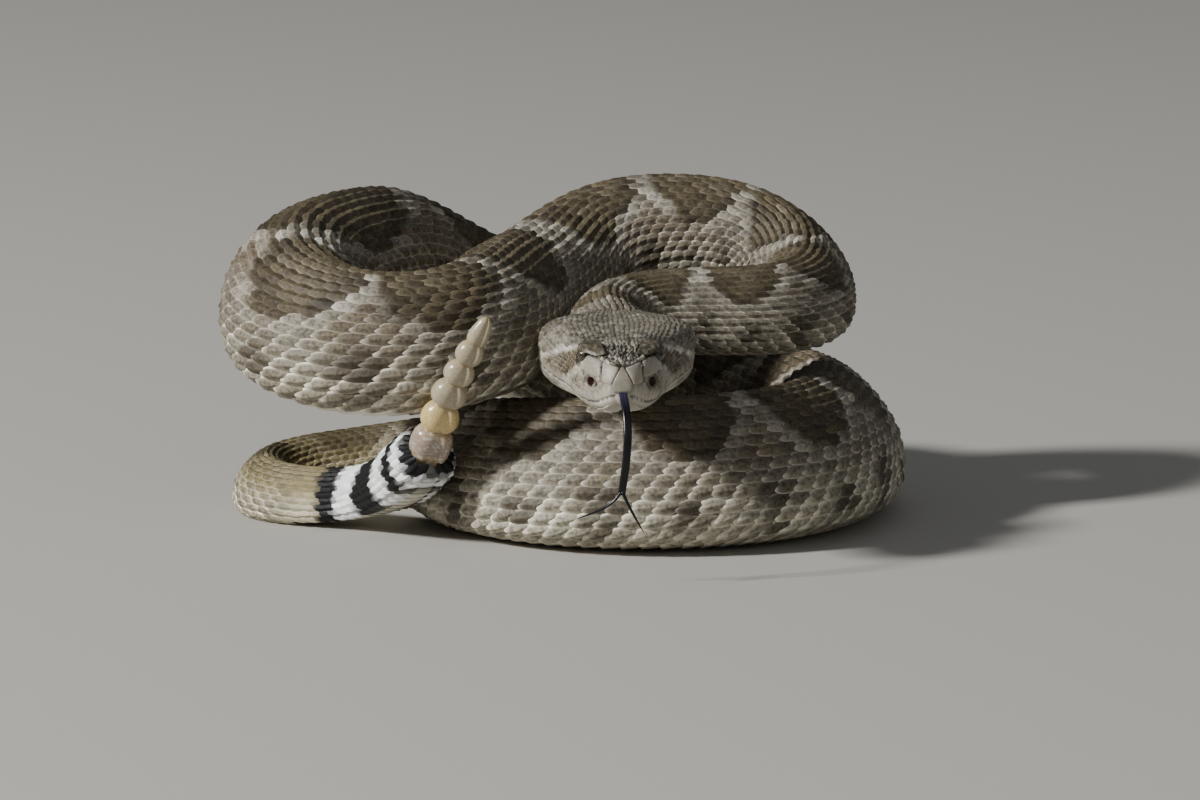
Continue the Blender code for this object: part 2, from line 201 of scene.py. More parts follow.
def clouds(points, size, seed):
    """Soft value noise in space, from 0 to 1, with clouds of about the given size."""
    places = points / size + seed * 7.31
    corner = np.floor(places).astype(np.int64)
    part = places - corner
    part = part * part * (3.0 - 2.0 * part)
    total = np.zeros(len(points))
    for number in range(8):
        step = np.array([number & 1, number >> 1 & 1, number >> 2 & 1])
        mixed = (corner + step) @ np.array([73856093, 19349663, 83492791]) + seed * 2654435761
        mixed = (mixed ^ (mixed >> 13)) * 1274126177 & 0xFFFFFFFF
        share = np.prod(np.where(step, part, 1.0 - part), axis=1)
        total += share * ((mixed >> 8) & 0xFFFF) / 65535.0
    return total


# ---- the body's form, which repeats the solids' -------------------------------------------------

FOOTPRINT = np.array([0.83, 34.26, 0.0])    # middle of the coil's box
FLAT_DEPTH = 1.0
BENDS = [
    (25.0, 14.0, 15.5, 188, 98, 55.3, 57.0),
    (46.2, 53.0, 20.3, -84, -5, 55.8, 56.2),
    (46.2, 53.0, 20.3, 5, 88, 58.5, 72.0),
    (19.0, 49.5, 24.0, 98, 126, 71.2, 67.2),
    (19.0, 49.5, 24.0, 130, 168, 66.5, 59.0),
    (-43.8, 30.5, 27.0, 14, -85, 57.0, 50.8),
    (-43.8, 30.5, 27.0, -95, -150, 50.8, 54.0),
    (-43.8, 30.5, 27.0, -158, -200, 55.5, 65.0),
    (8.0, 40.0, 64.0, 148, 94, 66.0, 32.0),
    (11.5, 50.5, 60.0, 84, 8, 29.0, 14.0),
    (21.5, 46.5, 47.5, -4, -172, 15.0, 15.0),
    (-49.5, 45.0, 24.0, 4, 100, 12.0, 8.0),
    (-64.0, 49.0, 17.0, 106, 262, 8.0, 7.0),
]
NAPE_ROUTE = [(13.9, -1.0, 53.6), (13.3, 5.0, 54.2)]
TAIL_ROUTE = [(-53.0, 28.0, 8.0), (-45.2, 15.1, 12.4), (-37.9, 1.6, 20.6), (-34.2, -6.4, 26.0)]
SMOOTHING = 14
NECK_EASE = 16.0
GIRTHS = [
    (0, 20.5), (15, 21.8), (35, 23.5), (60, 24.5), (90, 27.0), (120, 30.5), (150, 33.5),
    (180, 35.5), (210, 37.5), (260, 39.5), (350, 39.0), (430, 41.0), (490, 42.0), (560, 41.5),
    (590, 41.0), (612, 39.5), (632, 36.5), (650, 31.5), (665, 27.0), (685, 22.0), (720, 18.5),
    (745, 16.0), (763, 14.2), (773, 15.0), (785, 17.8), (797, 18.2), (805, 15.8), (812, 11.0),
]
LOAF_WIDTH = 1.04
LOAF_HEIGHT = 0.97
SAG_RAISED = 0.12
SAG_RESTING = 0.32
SAG_FADE = 12.0
BELLY_EDGES = [(700.0, 0.79), (755.0, 0.84)]    # where the belly plates begin, from back to belly
VENT = 736.0            # distance from the nape at which the tail begins


def girth_at(distance):
    """Thickness of the body, with the list's corners rounded."""
    window = 12.0
    steps = [read(GIRTHS, distance + window * (step / 4.0 - 1.0)) for step in range(9)]
    return sum(steps) / len(steps)


def belly_edge(distance):
    """Where the belly plates begin, as a share of the way from the back to the belly."""
    return read(BELLY_EDGES, distance)


@functools.lru_cache
def body_line():
    """Closely spaced points along the middle of the body, and its length."""
    points = [np.array(place) for place in NAPE_ROUTE]
    for centre_x, centre_y, radius, start, end, low, high in BENDS:
        count = max(3, round(abs(end - start) / 12.0))
        for part in np.linspace(0.0, 1.0, count + 1):
            angle = math.radians(start + (end - start) * part)
            points.append(np.array([centre_x + radius * math.cos(angle),
                                    centre_y + radius * math.sin(angle),
                                    low + (high - low) * part]))
    points.extend(np.array(place) for place in TAIL_ROUTE)
    points = eased_line(evenly_spaced(np.array(points), 4.0)[0], SMOOTHING)
    points, length = evenly_spaced(points, 2.0)
    places = np.linspace(0.0, length, len(points))
    points[:, 2] = np.maximum(points[:, 2], LOAF_HEIGHT * girth_at(places) / 2.0 - FLAT_DEPTH)
    return points, length


def body_frame(distance):
    """Centre, direction, side and back of the body at each distance from the nape."""
    points, length = body_line()
    place = np.clip(distance / length * (len(points) - 1), 0.0, len(points) - 1.001)
    index = place.astype(int)
    centre = points[index] + (points[index + 1] - points[index]) * (place - index)[:, None]
    along = unit(points[np.minimum(index + 2, len(points) - 1)] - points[np.maximum(index - 1, 0)])
    head_axis = HEAD_TURN @ np.array([0.0, 1.0, 0.0])
    part = np.clip(distance / NECK_EASE, 0.0, 1.0)[:, None]
    along = unit(head_axis * (1.0 - part) + along * part)
    side = unit(np.cross(np.array([0.0, 0.0, 1.0]), along))
    return centre, along, side, np.cross(along, side)


def loaf_outline(angle, sag):
    """The body's outline, per unit of girth: an arch that widens low down."""
    across = 0.5 * LOAF_WIDTH * np.cos(angle) * (1.0 - sag * np.sin(angle))
    height = np.sin(angle)
    height = np.where(height < 0.0, -np.abs(height) ** 0.78, height)
    return across / (1.0 + 0.42 * sag * sag), 0.5 * LOAF_HEIGHT * height


class BodyForm:
    """The body's surface as a table over distance from the nape and turn round the body.

    A turn of 0 is the middle of the back, and -1 and 1 meet at the middle of the belly.
    """

    STEP = 1.0
    TURNS = 241

    def __init__(self):
        _, self.length = body_line()
        self.places = np.arange(0.0, self.length, self.STEP)
        angles = np.linspace(math.pi / 2.0, -math.pi / 2.0, 400)
        outline = np.stack(loaf_outline(angles, 0.2), axis=1)
        reach = lengths_along(outline)
        self.turns = np.linspace(-1.0, 1.0, self.TURNS)
        self.share_of_reach, self.angle_off_top = reach / reach[-1], np.pi / 2.0 - angles
        away = np.interp(np.abs(self.turns), self.share_of_reach, self.angle_off_top)
        angle = np.pi / 2.0 - np.sign(self.turns) * away
        girth = girth_at(self.places)
        centre, _, side, back = body_frame(self.places)
        lift = centre[:, 2] - (LOAF_HEIGHT * girth / 2.0 - FLAT_DEPTH)
        resting = np.clip(1.0 - lift / SAG_FADE, 0.0, 1.0)
        sag = SAG_RAISED + (SAG_RESTING - SAG_RAISED) * resting
        across, height = loaf_outline(angle[None, :], sag[:, None])
        size = girth[:, None, None]
        points = (centre[:, None, :] + side[:, None, :] * across[..., None] * size
                  + back[:, None, :] * height[..., None] * size)
        points[..., 2] = np.maximum(points[..., 2], 0.0)
        ahead = np.gradient(points, self.STEP, axis=0)
        around = np.gradient(points, self.turns, axis=1)
        around[:, 0] = around[:, -1] = (around[:, 1] + around[:, -2]) / 2.0
        self.normals = unit(np.cross(ahead, around))
        self.stretch = np.linalg.norm(ahead, axis=-1)
        self.reach = np.linalg.norm(around, axis=-1)
        depth = sizes().coat_depth * np.clip(girth / 38.0, 0.5, 1.0)
        ridge = 0.35 * np.exp(-(self.turns / 0.05) ** 2)
        edge = belly_edge(self.places)[:, None]
        fold = 0.4 * np.exp(-((np.abs(self.turns)[None, :] - edge + 0.02) / 0.035) ** 2)
        depth = depth[:, None] * (1.0 - ridge[None, :] + fold)
        self.points = points - self.normals * depth[..., None]

    def turn_at(self, angle):
        """The turn that lies at an angle from the side, counted over the back."""
        off_top = (math.pi / 2.0 - angle + math.pi) % math.tau - math.pi
        return np.sign(off_top) * np.interp(np.abs(off_top), self.angle_off_top,
                                            self.share_of_reach)

    def sample(self, distance, turn):
        """Points, normals, stretch along and reach round, at each place of the skin."""
        row = distance / self.STEP
        turn = (turn + 1.0) % 2.0 - 1.0
        column = (turn + 1.0) / 2.0 * (self.TURNS - 1)
        points, normals, stretch, reach = (
            between(table, row, column)
            for table in (self.points, self.normals, self.stretch, self.reach))
        return points, unit(normals), stretch, reach


@functools.lru_cache
def body_form():
    """The body's surface, worked out once."""
    return BodyForm()


# ---- the head's form ----------------------------------------------------------------------------

SNOUT = np.array([15.9, -50.7, 48.7])
HEAD_LENGTH = 50.0
HEAD_YAW = math.radians(2.3)
HEAD_PITCH = math.radians(5.5)
HEAD_TURN = np.array(Matrix.Rotation(HEAD_YAW, 3, "Z") @ Matrix.Rotation(HEAD_PITCH, 3, "X"))
HEAD_WIDTHS = [
    (0.0, 7.2), (1.0, 9.8), (3.0, 12.8), (6.0, 16.2), (10.0, 20.4), (14.0, 23.5), (18.0, 25.6),
    (22.0, 28.5), (27.0, 35.0), (32.0, 39.6), (36.0, 41.0), (40.0, 39.6), (44.0, 34.5),
    (48.0, 25.5), (50.0, 21.5),
]
HEAD_TOPS = [
    (0.0, 4.2), (1.0, 5.9), (3.0, 7.0), (8.0, 8.0), (14.0, 9.2), (20.0, 9.9), (28.0, 10.4),
    (36.0, 10.4), (44.0, 9.9), (50.0, 10.0),
]
HEAD_UNDERSIDES = [
    (0.0, -2.6), (1.0, -4.8), (3.0, -6.2), (8.0, -7.6), (14.0, -8.4), (20.0, -8.9),
    (30.0, -9.4), (38.0, -9.6), (44.0, -9.8), (50.0, -10.0),
]
HEAD_WIDEST = [(0.0, 0.6), (14.0, 0.0), (28.0, 1.2), (40.0, 1.4), (50.0, 0.0)]
HEAD_SQUARENESS = [(0.0, 2.5), (4.0, 3.0), (8.0, 3.6), (14.0, 3.8), (22.0, 3.4), (28.0, 3.8),
                   (34.0, 4.4), (41.0, 4.0), (50.0, 2.05)]
JAW_SQUARENESS = [(0.0, 2.5), (4.0, 2.9), (14.0, 2.9), (24.0, 2.7), (38.0, 2.9), (50.0, 2.05)]
PARTING = [(16.0, 0.0), (26.0, 0.8), (40.0, 0.8), (48.0, 0.0)]  # the hollow between the temples
PARTING_REACH = 6.5
HEAD_COAT = 0.5         # depth of the skin under the head's scales
BROW = np.array([8.8, 13.0, 8.8])
MOUTH = [
    (-2.0, -0.4), (0.0, -0.8), (2.0, -2.3), (5.0, -3.8), (9.0, -4.7), (14.0, -4.8),
    (20.0, -4.1), (26.0, -3.0), (32.0, -1.6), (39.0, -0.4),
]
MOUTH_CORNER = 37.0
# The ridge from the tip of the snout to the brow: how far to the side, and how high.
CANTHUS_SIDE = [(0.8, 0.5), (5.0, 3.4), (8.2, 5.9), (11.5, 9.0), (14.0, 10.0)]
CANTHUS_UP = [(0.8, 5.4), (5.0, 6.9), (8.2, 7.6), (11.5, 8.8), (14.0, 9.4)]
EYE = np.array([8.75, 13.6, 6.0])
EYE_RADIUS = 2.45
PIT = (7.6, 1.0)        # seen from the front: sideways and up
PIT_RADIUS = 1.4
NOSTRIL = (5.15, 4.8)
RING_POINTS = 120       # points round the skin
# How far each feature of the head stands out, or lies in where it is negative.
RELIEF = {
    "brow": 0.9, "canthus": 0.4, "before_eye": -0.35, "behind_eye": -0.5, "mouth": -0.34,
    "lips": 0.08, "chin_groove": -0.45, "pit_rim": 0.22, "pit": -1.7, "nostril": -0.6,
}


def to_model(points):
    """From the head's own frame to the model's."""
    return points @ HEAD_TURN.T + SNOUT


def to_head(points):
    """From the model's frame to the head's own."""
    return (points - SNOUT) @ HEAD_TURN


def eased_short(table, station):
    """A value from one of the head's tables, with its corners rounded."""
    window = np.minimum(1.5, np.minimum(station, HEAD_LENGTH - station))
    steps = [read(table, station + window * step / 2.0) for step in range(-2, 3)]
    return sum(steps) / len(steps)


def head_outline(station, angle):
    """Points of the head's surface in its own frame, under its coat."""
    station, angle = np.broadcast_arrays(station, angle)
    middle = read(HEAD_WIDEST, station)
    top = eased_short(HEAD_TOPS, station) - middle - HEAD_COAT
    bottom = middle - eased_short(HEAD_UNDERSIDES, station) - HEAD_COAT
    half = 0.5 * eased_short(HEAD_WIDTHS, station) - HEAD_COAT
    cosine, sine = np.cos(angle), np.sin(angle)
    above = sine > 0.0
    power = 2.0 / np.where(above, read(HEAD_SQUARENESS, station), read(JAW_SQUARENESS, station))
    across = half * np.copysign(np.abs(cosine) ** power, cosine)
    height = np.where(above, top, bottom) * np.copysign(np.abs(sine) ** power, sine)
    height -= above * read(PARTING, station) * bump(across, PARTING_REACH)
    return np.stack([across, station + HEAD_COAT * (1.0 - station / HEAD_LENGTH),
                     middle + height], axis=-1)


def bump(distance, width):
    """A soft mound that is 1 in the middle."""
    return np.exp(-(distance / width) ** 2)


def sculpt_head(points):
    """Brows, snout ridges, lips, pits, nostrils and jaw muscles, pushed out or in."""
    across, back, up = points[..., 0], points[..., 1], points[..., 2]
    away = np.abs(across)
    outward = unit(np.stack([across, np.minimum(back - 12.0, 0.0) * 1.2, up * 1.3], axis=-1))
    push = np.zeros(across.shape)
    brow = np.stack([away, back, up], axis=-1) - BROW
    reach = np.linalg.norm(brow * np.array([1.0, 0.62, 1.0]), axis=-1)
    push += RELIEF["brow"] * bump(reach, 2.4)
    canthus = np.stack([away - read(CANTHUS_SIDE, back), up - read(CANTHUS_UP, back)], axis=-1)
    near_snout = smooth(back, 0.5, 2.5) * (1.0 - smooth(back, 10.0, 13.0))
    push += RELIEF["canthus"] * near_snout * bump(np.linalg.norm(canthus, axis=-1), 1.0)
    hollow = bump(np.hypot(away - 8.6, up - 3.0), 2.2) * smooth(back, 4.0, 7.0)
    push += RELIEF["before_eye"] * hollow * (1.0 - smooth(back, 10.0, 12.5))
    behind = bump(back - 19.5, 3.0) * bump(up - 5.0, 3.5) * smooth(away, 7.0, 10.0)
    push += RELIEF["behind_eye"] * behind
    lip_height = up - read(MOUTH, back)
    fade = 1.0 - smooth(back, MOUTH_CORNER - 3.0, MOUTH_CORNER + 1.0)
    push += RELIEF["mouth"] * fade * bump(lip_height, 0.24)
    push += RELIEF["lips"] * fade * (bump(lip_height - 1.4, 0.9) + bump(lip_height + 1.3, 0.9))
    groove = bump(across, 0.8) * smooth(-up, 3.0, 6.0) * smooth(back, 2.0, 5.0)
    push += RELIEF["chin_groove"] * groove * (1.0 - smooth(back, 22.0, 30.0))
    pit = np.hypot(away - PIT[0], up - PIT[1])
    front = 1.0 - smooth(back, 9.5, 11.0)
    push += front * (RELIEF["pit_rim"] * bump(pit - 1.65, 0.5)
                     + RELIEF["pit"] * smooth(-pit, -1.42, -0.75))
    nostril = np.hypot((away - NOSTRIL[0]) * 1.6, (up - NOSTRIL[1]) * 0.75)
    push += front * RELIEF["nostril"] * smooth(-nostril, -0.8, -0.2)
    return points + outward * push[..., None]


class HeadForm:
    """The head's surface as a mesh that pieces can be laid on."""

    def __init__(self):
        angles = math.pi - math.tau * (np.arange(RING_POINTS) + 0.5) / RING_POINTS
        stations = np.r_[np.arange(0.0, 20.0, 0.4), np.arange(20.0, HEAD_LENGTH, 0.7)]
        rings = head_outline(stations[:, None], angles[None, :])
        cap = rings[0]
        middle = cap.mean(axis=0)
        face = [middle + (cap - middle) * size + np.array([0.0, -0.3 * (1.0 - size ** 2), 0.0])
                for size in (0.04, 0.2, 0.4, 0.6, 0.8, 0.93)]
        rings = sculpt_head(np.concatenate([np.array(face), rings]))
        self.rings = to_model(rings)
        self.faces, _ = tube_faces(len(self.rings), RING_POINTS)
        self.points = self.rings.reshape(-1, 3)
        self.tree = BVHTree.FromPolygons(self.points.tolist(), self.faces.tolist())
        around = np.roll(self.rings, -1, axis=1) - np.roll(self.rings, 1, axis=1)
        ahead = np.gradient(self.rings, axis=0)
        normals = unit(np.cross(around, ahead)).reshape(-1, 3)
        outward = self.points - to_model(np.array([0.0, 24.0, 0.0]))
        if np.sum(normals * outward) < 0.0:
            normals = -normals
        self.normals = normals

    def lay(self, point):
        """The nearest place of the skin to a point of the model, and its smooth normal."""
        place, _, face, _ = self.tree.find_nearest(Vector(point))
        corners = self.faces[face]
        weights = 1.0 / (np.linalg.norm(self.points[corners] - np.array(place), axis=1) + 0.02)
        return np.array(place), unit(weights @ self.normals[corners])

    def shoot(self, start, aim):
        """Where a line from outside meets the skin, all in the head's own frame."""
        direction = Vector(HEAD_TURN @ unit(np.array(aim, float)))
        place, _, _, _ = self.tree.ray_cast(Vector(to_model(np.array(start, float))), direction)
        if place is None:
            raise RuntimeError(f"nothing of the head lies before {start}")
        return to_head(np.array(place))

    def face(self, across, up):
        """Where a line from straight ahead meets the skin."""
        return self.shoot((across, -30.0, up), (0.0, 1.0, 0.0))


@functools.lru_cache
def head_form():
    """The head's surface, worked out once."""
    return HeadForm()


# ---- markings -----------------------------------------------------------------------------------

# Middles of the diamonds by their number from the head, and their spacing past the last.
DIAMONDS = [(0, 12.0), (1, 34.0), (2, 57.0), (3, 80.0), (4, 103.0), (5, 127.0), (6, 157.0),
            (7, 198.0), (8, 233.0), (9, 266.0), (10, 309.0), (11, 356.0), (17, 540.0), (20, 639.0),
            (23, 720.0)]
DIAMOND_HALF_TURN = 0.39
TAIL_BANDS = [752.5, 759.6, 768.4, 782.0, 790.4, 796.2, 800.2]    # black and white in turn
MARKING_SEED = 11


def body_pigment(distance, turn, place):
    """Pigment of the hide at each distance and turn; place is where it lies in the model."""
    numbers, middles = zip(*DIAMONDS)
    number = np.interp(distance, middles, numbers)
    nearest = np.round(number)
    middle = np.interp(nearest, numbers, middles)
    pitch = (np.interp(nearest + 0.5, numbers, middles)
             - np.interp(nearest - 0.5, numbers, middles))
    away = np.abs(turn)
    ragged = (clouds(place, 3.5, MARKING_SEED) - 0.5) * 0.26
    lengthways = np.abs(distance - middle) / (pitch * 0.5)
    shape = ((lengthways / 0.92) ** 1.65 + (away / DIAMOND_HALF_TURN) ** 1.65) ** (1.0 / 1.65)
    shape = shape + ragged
    cloud = clouds(place, 9.0, MARKING_SEED + 1)
    fine = clouds(place, 2.2, MARKING_SEED + 2)
    skin = blend(colour("ground"), colour("ground_warm"), smooth(cloud, 0.35, 0.8))
    rim = belly_edge(distance)
    # The lowest flanks pale into the belly colour, which is their own. They grow paler from 320 to
    # 460 mm along, and that part is painted light.
    cream_and_painted_light = 0.46 + 0.46 * smooth(distance, 320.0, 460.0)
    skin = blend(skin, colour("belly"), smooth(away, 0.36, 0.66) * cream_and_painted_light)
    low_spots = [(0.5, 0.53, 0.085, 0.15), (0.0, 0.58, 0.07, 0.11), (0.5, 0.66, 0.06, 0.10)]
    for shift, level, tall, long in low_spots:
        beside = np.abs((number + shift) - np.round(number + shift))
        spot = np.hypot(beside / long, (away - level) / tall) + ragged * 3.0
        skin = blend(skin, colour("spot"), (1.0 - smooth(spot, 0.7, 1.2)) * 0.85)
    border = smooth(shape, 0.98, 1.04) * (1.0 - smooth(shape, 1.1, 1.2))
    border = border * smooth(fine, 0.0, 0.3) * (0.5 + 0.5 * smooth(0.3 - away, -0.05, 0.1))
    skin = blend(skin, colour("border"), border * (1.0 - smooth(away, 0.38, 0.46)) * 0.85)
    inside = 1.0 - smooth(shape, 0.95, 1.0)
    fill = blend(colour("diamond"), colour("ground_warm"), smooth(fine, 0.4, 0.9) * 0.6)
    spots = smooth(clouds(place, 2.6, MARKING_SEED + 7), 0.5, 0.75)
    fill = blend(fill, colour("diamond_edge"), spots * 0.5)
    edge = smooth(shape + (fine - 0.5) * 0.5, 0.7, 0.94)
    fill = blend(fill, colour("diamond_edge"), edge * 0.7)
    skin = blend(skin, fill, inside * 0.95)
    fading = smooth(distance, 645.0, 700.0)
    tail = blend(colour("tail_ground"), colour("diamond_edge"),
                 (1.0 - smooth(away, 0.18, 0.42)) * (0.35 + 0.4 * inside))
    tail = blend(tail, colour("belly"), smooth(away, 0.3, 0.62) * 0.5)
    skin = blend(skin, tail, fading * 0.85)
    skin = blend(skin, colour("belly"), smooth(away - rim, -0.03, 0.02) * 0.8)
    clouded = smooth(clouds(place, 6.0, MARKING_SEED + 3), 0.5, 0.8)
    skin = blend(skin, colour("belly_shade"), clouded * smooth(away, 0.7, 0.8) * 0.5)
    ragged_band = distance + (clouds(place, 2.0, MARKING_SEED + 4) - 0.5) * 1.6
    banded = smooth(ragged_band, TAIL_BANDS[0] - 0.5, TAIL_BANDS[0] + 0.5)
    white = np.zeros(len(distance))
    for number_of_band, edge_place in enumerate(TAIL_BANDS[1:]):
        turns_white = number_of_band % 2 == 0
        step = smooth(ragged_band, edge_place - 0.4, edge_place + 0.4)
        white = white * (1.0 - step) + step * turns_white
    bands = blend(np.broadcast_to(colour("tail_black"), skin.shape), colour("tail_white"), white)
    lowest = smooth(away, 0.76, 0.92) * (1.0 - smooth(distance, 790.0, 798.0))
    bands = blend(bands, colour("belly"), lowest * 0.75)
    return blend(skin, bands, banded)


def line_distance(first, second, points):
    """Distance of flat points from a straight line between two places, and how far along."""
    first, second = np.array(first), np.array(second)
    step = second - first
    part = np.clip((points - first) @ step / (step @ step), 0.0, 1.0)
    return np.linalg.norm(points - (first + part[..., None] * step), axis=-1), part


def head_pigment(points):
    """Pigment of the head at places given in its own frame."""
    across, back, up = points[:, 0], points[:, 1], points[:, 2]
    away = np.abs(across)
    fine = clouds(points, 0.9, MARKING_SEED)
    grain = clouds(points, 1.7, MARKING_SEED + 1)
    cloud = clouds(points, 5.0, MARKING_SEED + 2)
    on_top = smooth(read(CANTHUS_SIDE, back) - away, -0.5, 0.25) * smooth(up, 3.5, 5.0)
    level = np.where(back > 15.0, 8.6 - 0.42 * (back - 15.0), 8.6)
    on_top = np.where(back > 13.0, smooth(up - level, -0.8, 1.2), on_top)
    brow = bump(away - 9.5, 2.4) * bump(back - 11.5, 4.0) * smooth(up, 8.2, 9.0)
    on_top = np.maximum(on_top, smooth(brow, 0.2, 0.5))
    skin = blend(colour("cheek"), colour("snout"), 1.0 - smooth(back, 5.0, 12.0))
    skin = blend(skin, colour("crown"), smooth(cloud, 0.2, 0.8) * 0.35)
    crown = blend(colour("crown"), colour("cheek"), smooth(grain, 0.45, 0.9) * 0.6)
    speckled = smooth(fine, 0.5, 0.62) * (1.0 - smooth(back, 14.0, 34.0) * 0.75)
    crown = blend(crown, colour("crown_speckle"), speckled * 0.85)
    skin = blend(skin, crown, on_top)
    side = np.stack([back, up], axis=-1)
    upper_line, upper_part = line_distance((14.5, 9.2), (36.0, -0.6), side)
    lower_line, _ = line_distance((10.5, 5.0), (24.5, -5.0), side)
    above_lower = (side - np.array([10.5, 5.0])) @ unit(np.array([10.0, 14.0]))
    under_upper = (side - np.array([14.5, 9.2])) @ unit(np.array([-9.8, -21.5]))
    band = smooth(above_lower, 0.4, 1.2) * smooth(under_upper, 0.3, 1.2)
    band = band * (1.0 - smooth(back, 33.0, 37.0)) * smooth(away, 5.0, 8.0)
    band = band * smooth(up, -8.0, -5.0)
    mottled = blend(np.broadcast_to(colour("face_band"), skin.shape), colour("cheek"),
                    smooth(grain, 0.55, 0.9) * 0.45)
    skin = blend(skin, mottled, band)
    width = 0.3 + 0.3 * upper_part
    stripe = (1.0 - smooth(upper_line - width, -0.2, 0.3)) * smooth(away, 9.6, 10.8)
    stripe = np.maximum(stripe, (1.0 - smooth(lower_line, 0.6, 1.8)) * 0.6)
    skin = blend(skin, colour("face_stripe"), stripe * smooth(away, 5.0, 7.0) * 0.9)
    shelf = smooth(up, 6.5, 7.1) * bump(back - 10.5, 3.0) * smooth(away, 4.5, 6.0)
    skin = blend(skin, colour("crown"), shelf * (1.0 - on_top) * 0.7)
    lip_height = up - read(MOUTH, back)
    stains = smooth(clouds(points, 2.4, MARKING_SEED + 5), 0.45, 0.75) * smooth(back, 1.5, 4.0)
    stains = stains * (1.0 - on_top) * (1.0 - smooth(up, 2.0, 3.5)) * smooth(lip_height, 0.0, 1.2)
    skin = blend(skin, colour("ground_warm"), stains * 0.5)
    lips = bump(lip_height, 1.5) * (1.0 - smooth(back, 30.0, 40.0)) * 0.7
    skin = blend(skin, colour("lip"), lips)
    under = smooth(-lip_height, 0.8, 3.0)
    skin = blend(skin, colour("lip"), under * (0.9 - 0.5 * band))
    freckles = smooth(clouds(points, 0.7, MARKING_SEED + 3), 0.6, 0.75)
    freckles = freckles * (1.0 - on_top) * smooth(back, 3.0, 6.0) * 0.35
    skin = blend(skin, colour("crown_speckle"), freckles)
    return skin


def hide_pigment(points, distance, turn):
    """Pigment anywhere on the hide: the head's markings, eased into the body's at the nape."""
    skin = body_pigment(distance, turn, points)
    near = distance < 8.0
    if near.any():
        local = to_head(points[near])
        on_body = smooth(local[:, 1], 44.0, 53.0)
        skin[near] = blend(head_pigment(local), skin[near], on_body)
    return skin


# ---- meshes -------------------------------------------------------------------------------------

def build_mesh(name, points, quads, triangles, colours=None, places=None, sharp=None,
               closed=True):
    """A mesh object from arrays: points in millimetres of the model, faces, and per-point data.

    A closed form is turned so that its faces look outward.
    """
    mesh = bpy.data.meshes.new(name)
    quads = np.asarray(quads, np.int32).reshape(-1, 4)
    triangles = np.asarray(triangles, np.int32).reshape(-1, 3)
    halves = np.concatenate([quads[:, :3], quads[:, [0, 2, 3]], triangles])
    first, second, third = (points[halves[:, corner]] for corner in range(3))
    if closed and np.sum(np.cross(first, second) * third) < 0.0:
        quads, triangles = quads[:, ::-1], triangles[:, ::-1]
    corners = np.concatenate([quads.ravel(), triangles.ravel()])
    sizes_of = np.r_[np.full(len(quads), 4), np.full(len(triangles), 3)].astype(np.int32)
    starts = np.r_[0, np.cumsum(sizes_of)[:-1]].astype(np.int32)
    mesh.vertices.add(len(points))
    mesh.vertices.foreach_set("co", ((points - FOOTPRINT) * MM).astype(np.float32).ravel())
    mesh.loops.add(len(corners))
    mesh.loops.foreach_set("vertex_index", corners)
    mesh.polygons.add(len(sizes_of))
    mesh.polygons.foreach_set("loop_start", starts)
    mesh.update(calc_edges=True)
    mesh.validate()
    mesh.shade_smooth()
    if sharp is not None:
        mesh.set_sharp_from_angle(angle=math.radians(sharp))
    if colours is not None:     # the fourth channel says how freckled the place is
        layer = mesh.color_attributes.new("pigment", "FLOAT_COLOR", "POINT")
        filled = np.zeros((len(points), 4), np.float32)
        filled[:, :colours.shape[1]] = colours
        layer.data.foreach_set("color", filled.ravel())
    if places is not None:
        chart = mesh.uv_layers.new(name=BAKE_MAP)
        used = np.empty(len(mesh.loops), np.int32)
        mesh.loops.foreach_get("vertex_index", used)
        chart.data.foreach_set("uv", places[used].astype(np.float32).ravel())
    item = bpy.data.objects.new(name, mesh)
    bpy.context.scene.collection.objects.link(item)
    return item


def finish_piece(item, material):
    """Give a piece its finish and let it ride with the animal."""
    item.data.materials.append(material)
    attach(item, "root")
    return item


def with_ends(rings):
    """The points of a tube's rings, followed by the middles of its first and last ring."""
    return np.vstack([rings.reshape(-1, 3), rings[0].mean(axis=0), rings[-1].mean(axis=0)])


def tube_faces(rings, sides, first=0, inward=False):
    """Faces of a closed tube: quads between its rings, and fans to the two points after them."""
    index = np.arange(rings * sides).reshape(rings, sides) + first
    after = np.roll(index, -1, axis=1)
    quads = np.stack([index[:-1], after[:-1], after[1:], index[1:]], axis=-1).reshape(-1, 4)
    start, end = first + index.size, first + index.size + 1
    fans = np.array([*((start, there, here) for here, there in zip(index[0], after[0])),
                     *((end, here, there) for here, there in zip(index[-1], after[-1]))])
    if inward:
        quads, fans = quads[:, [0, 3, 2, 1]], fans[:, [0, 2, 1]]
    return quads, fans


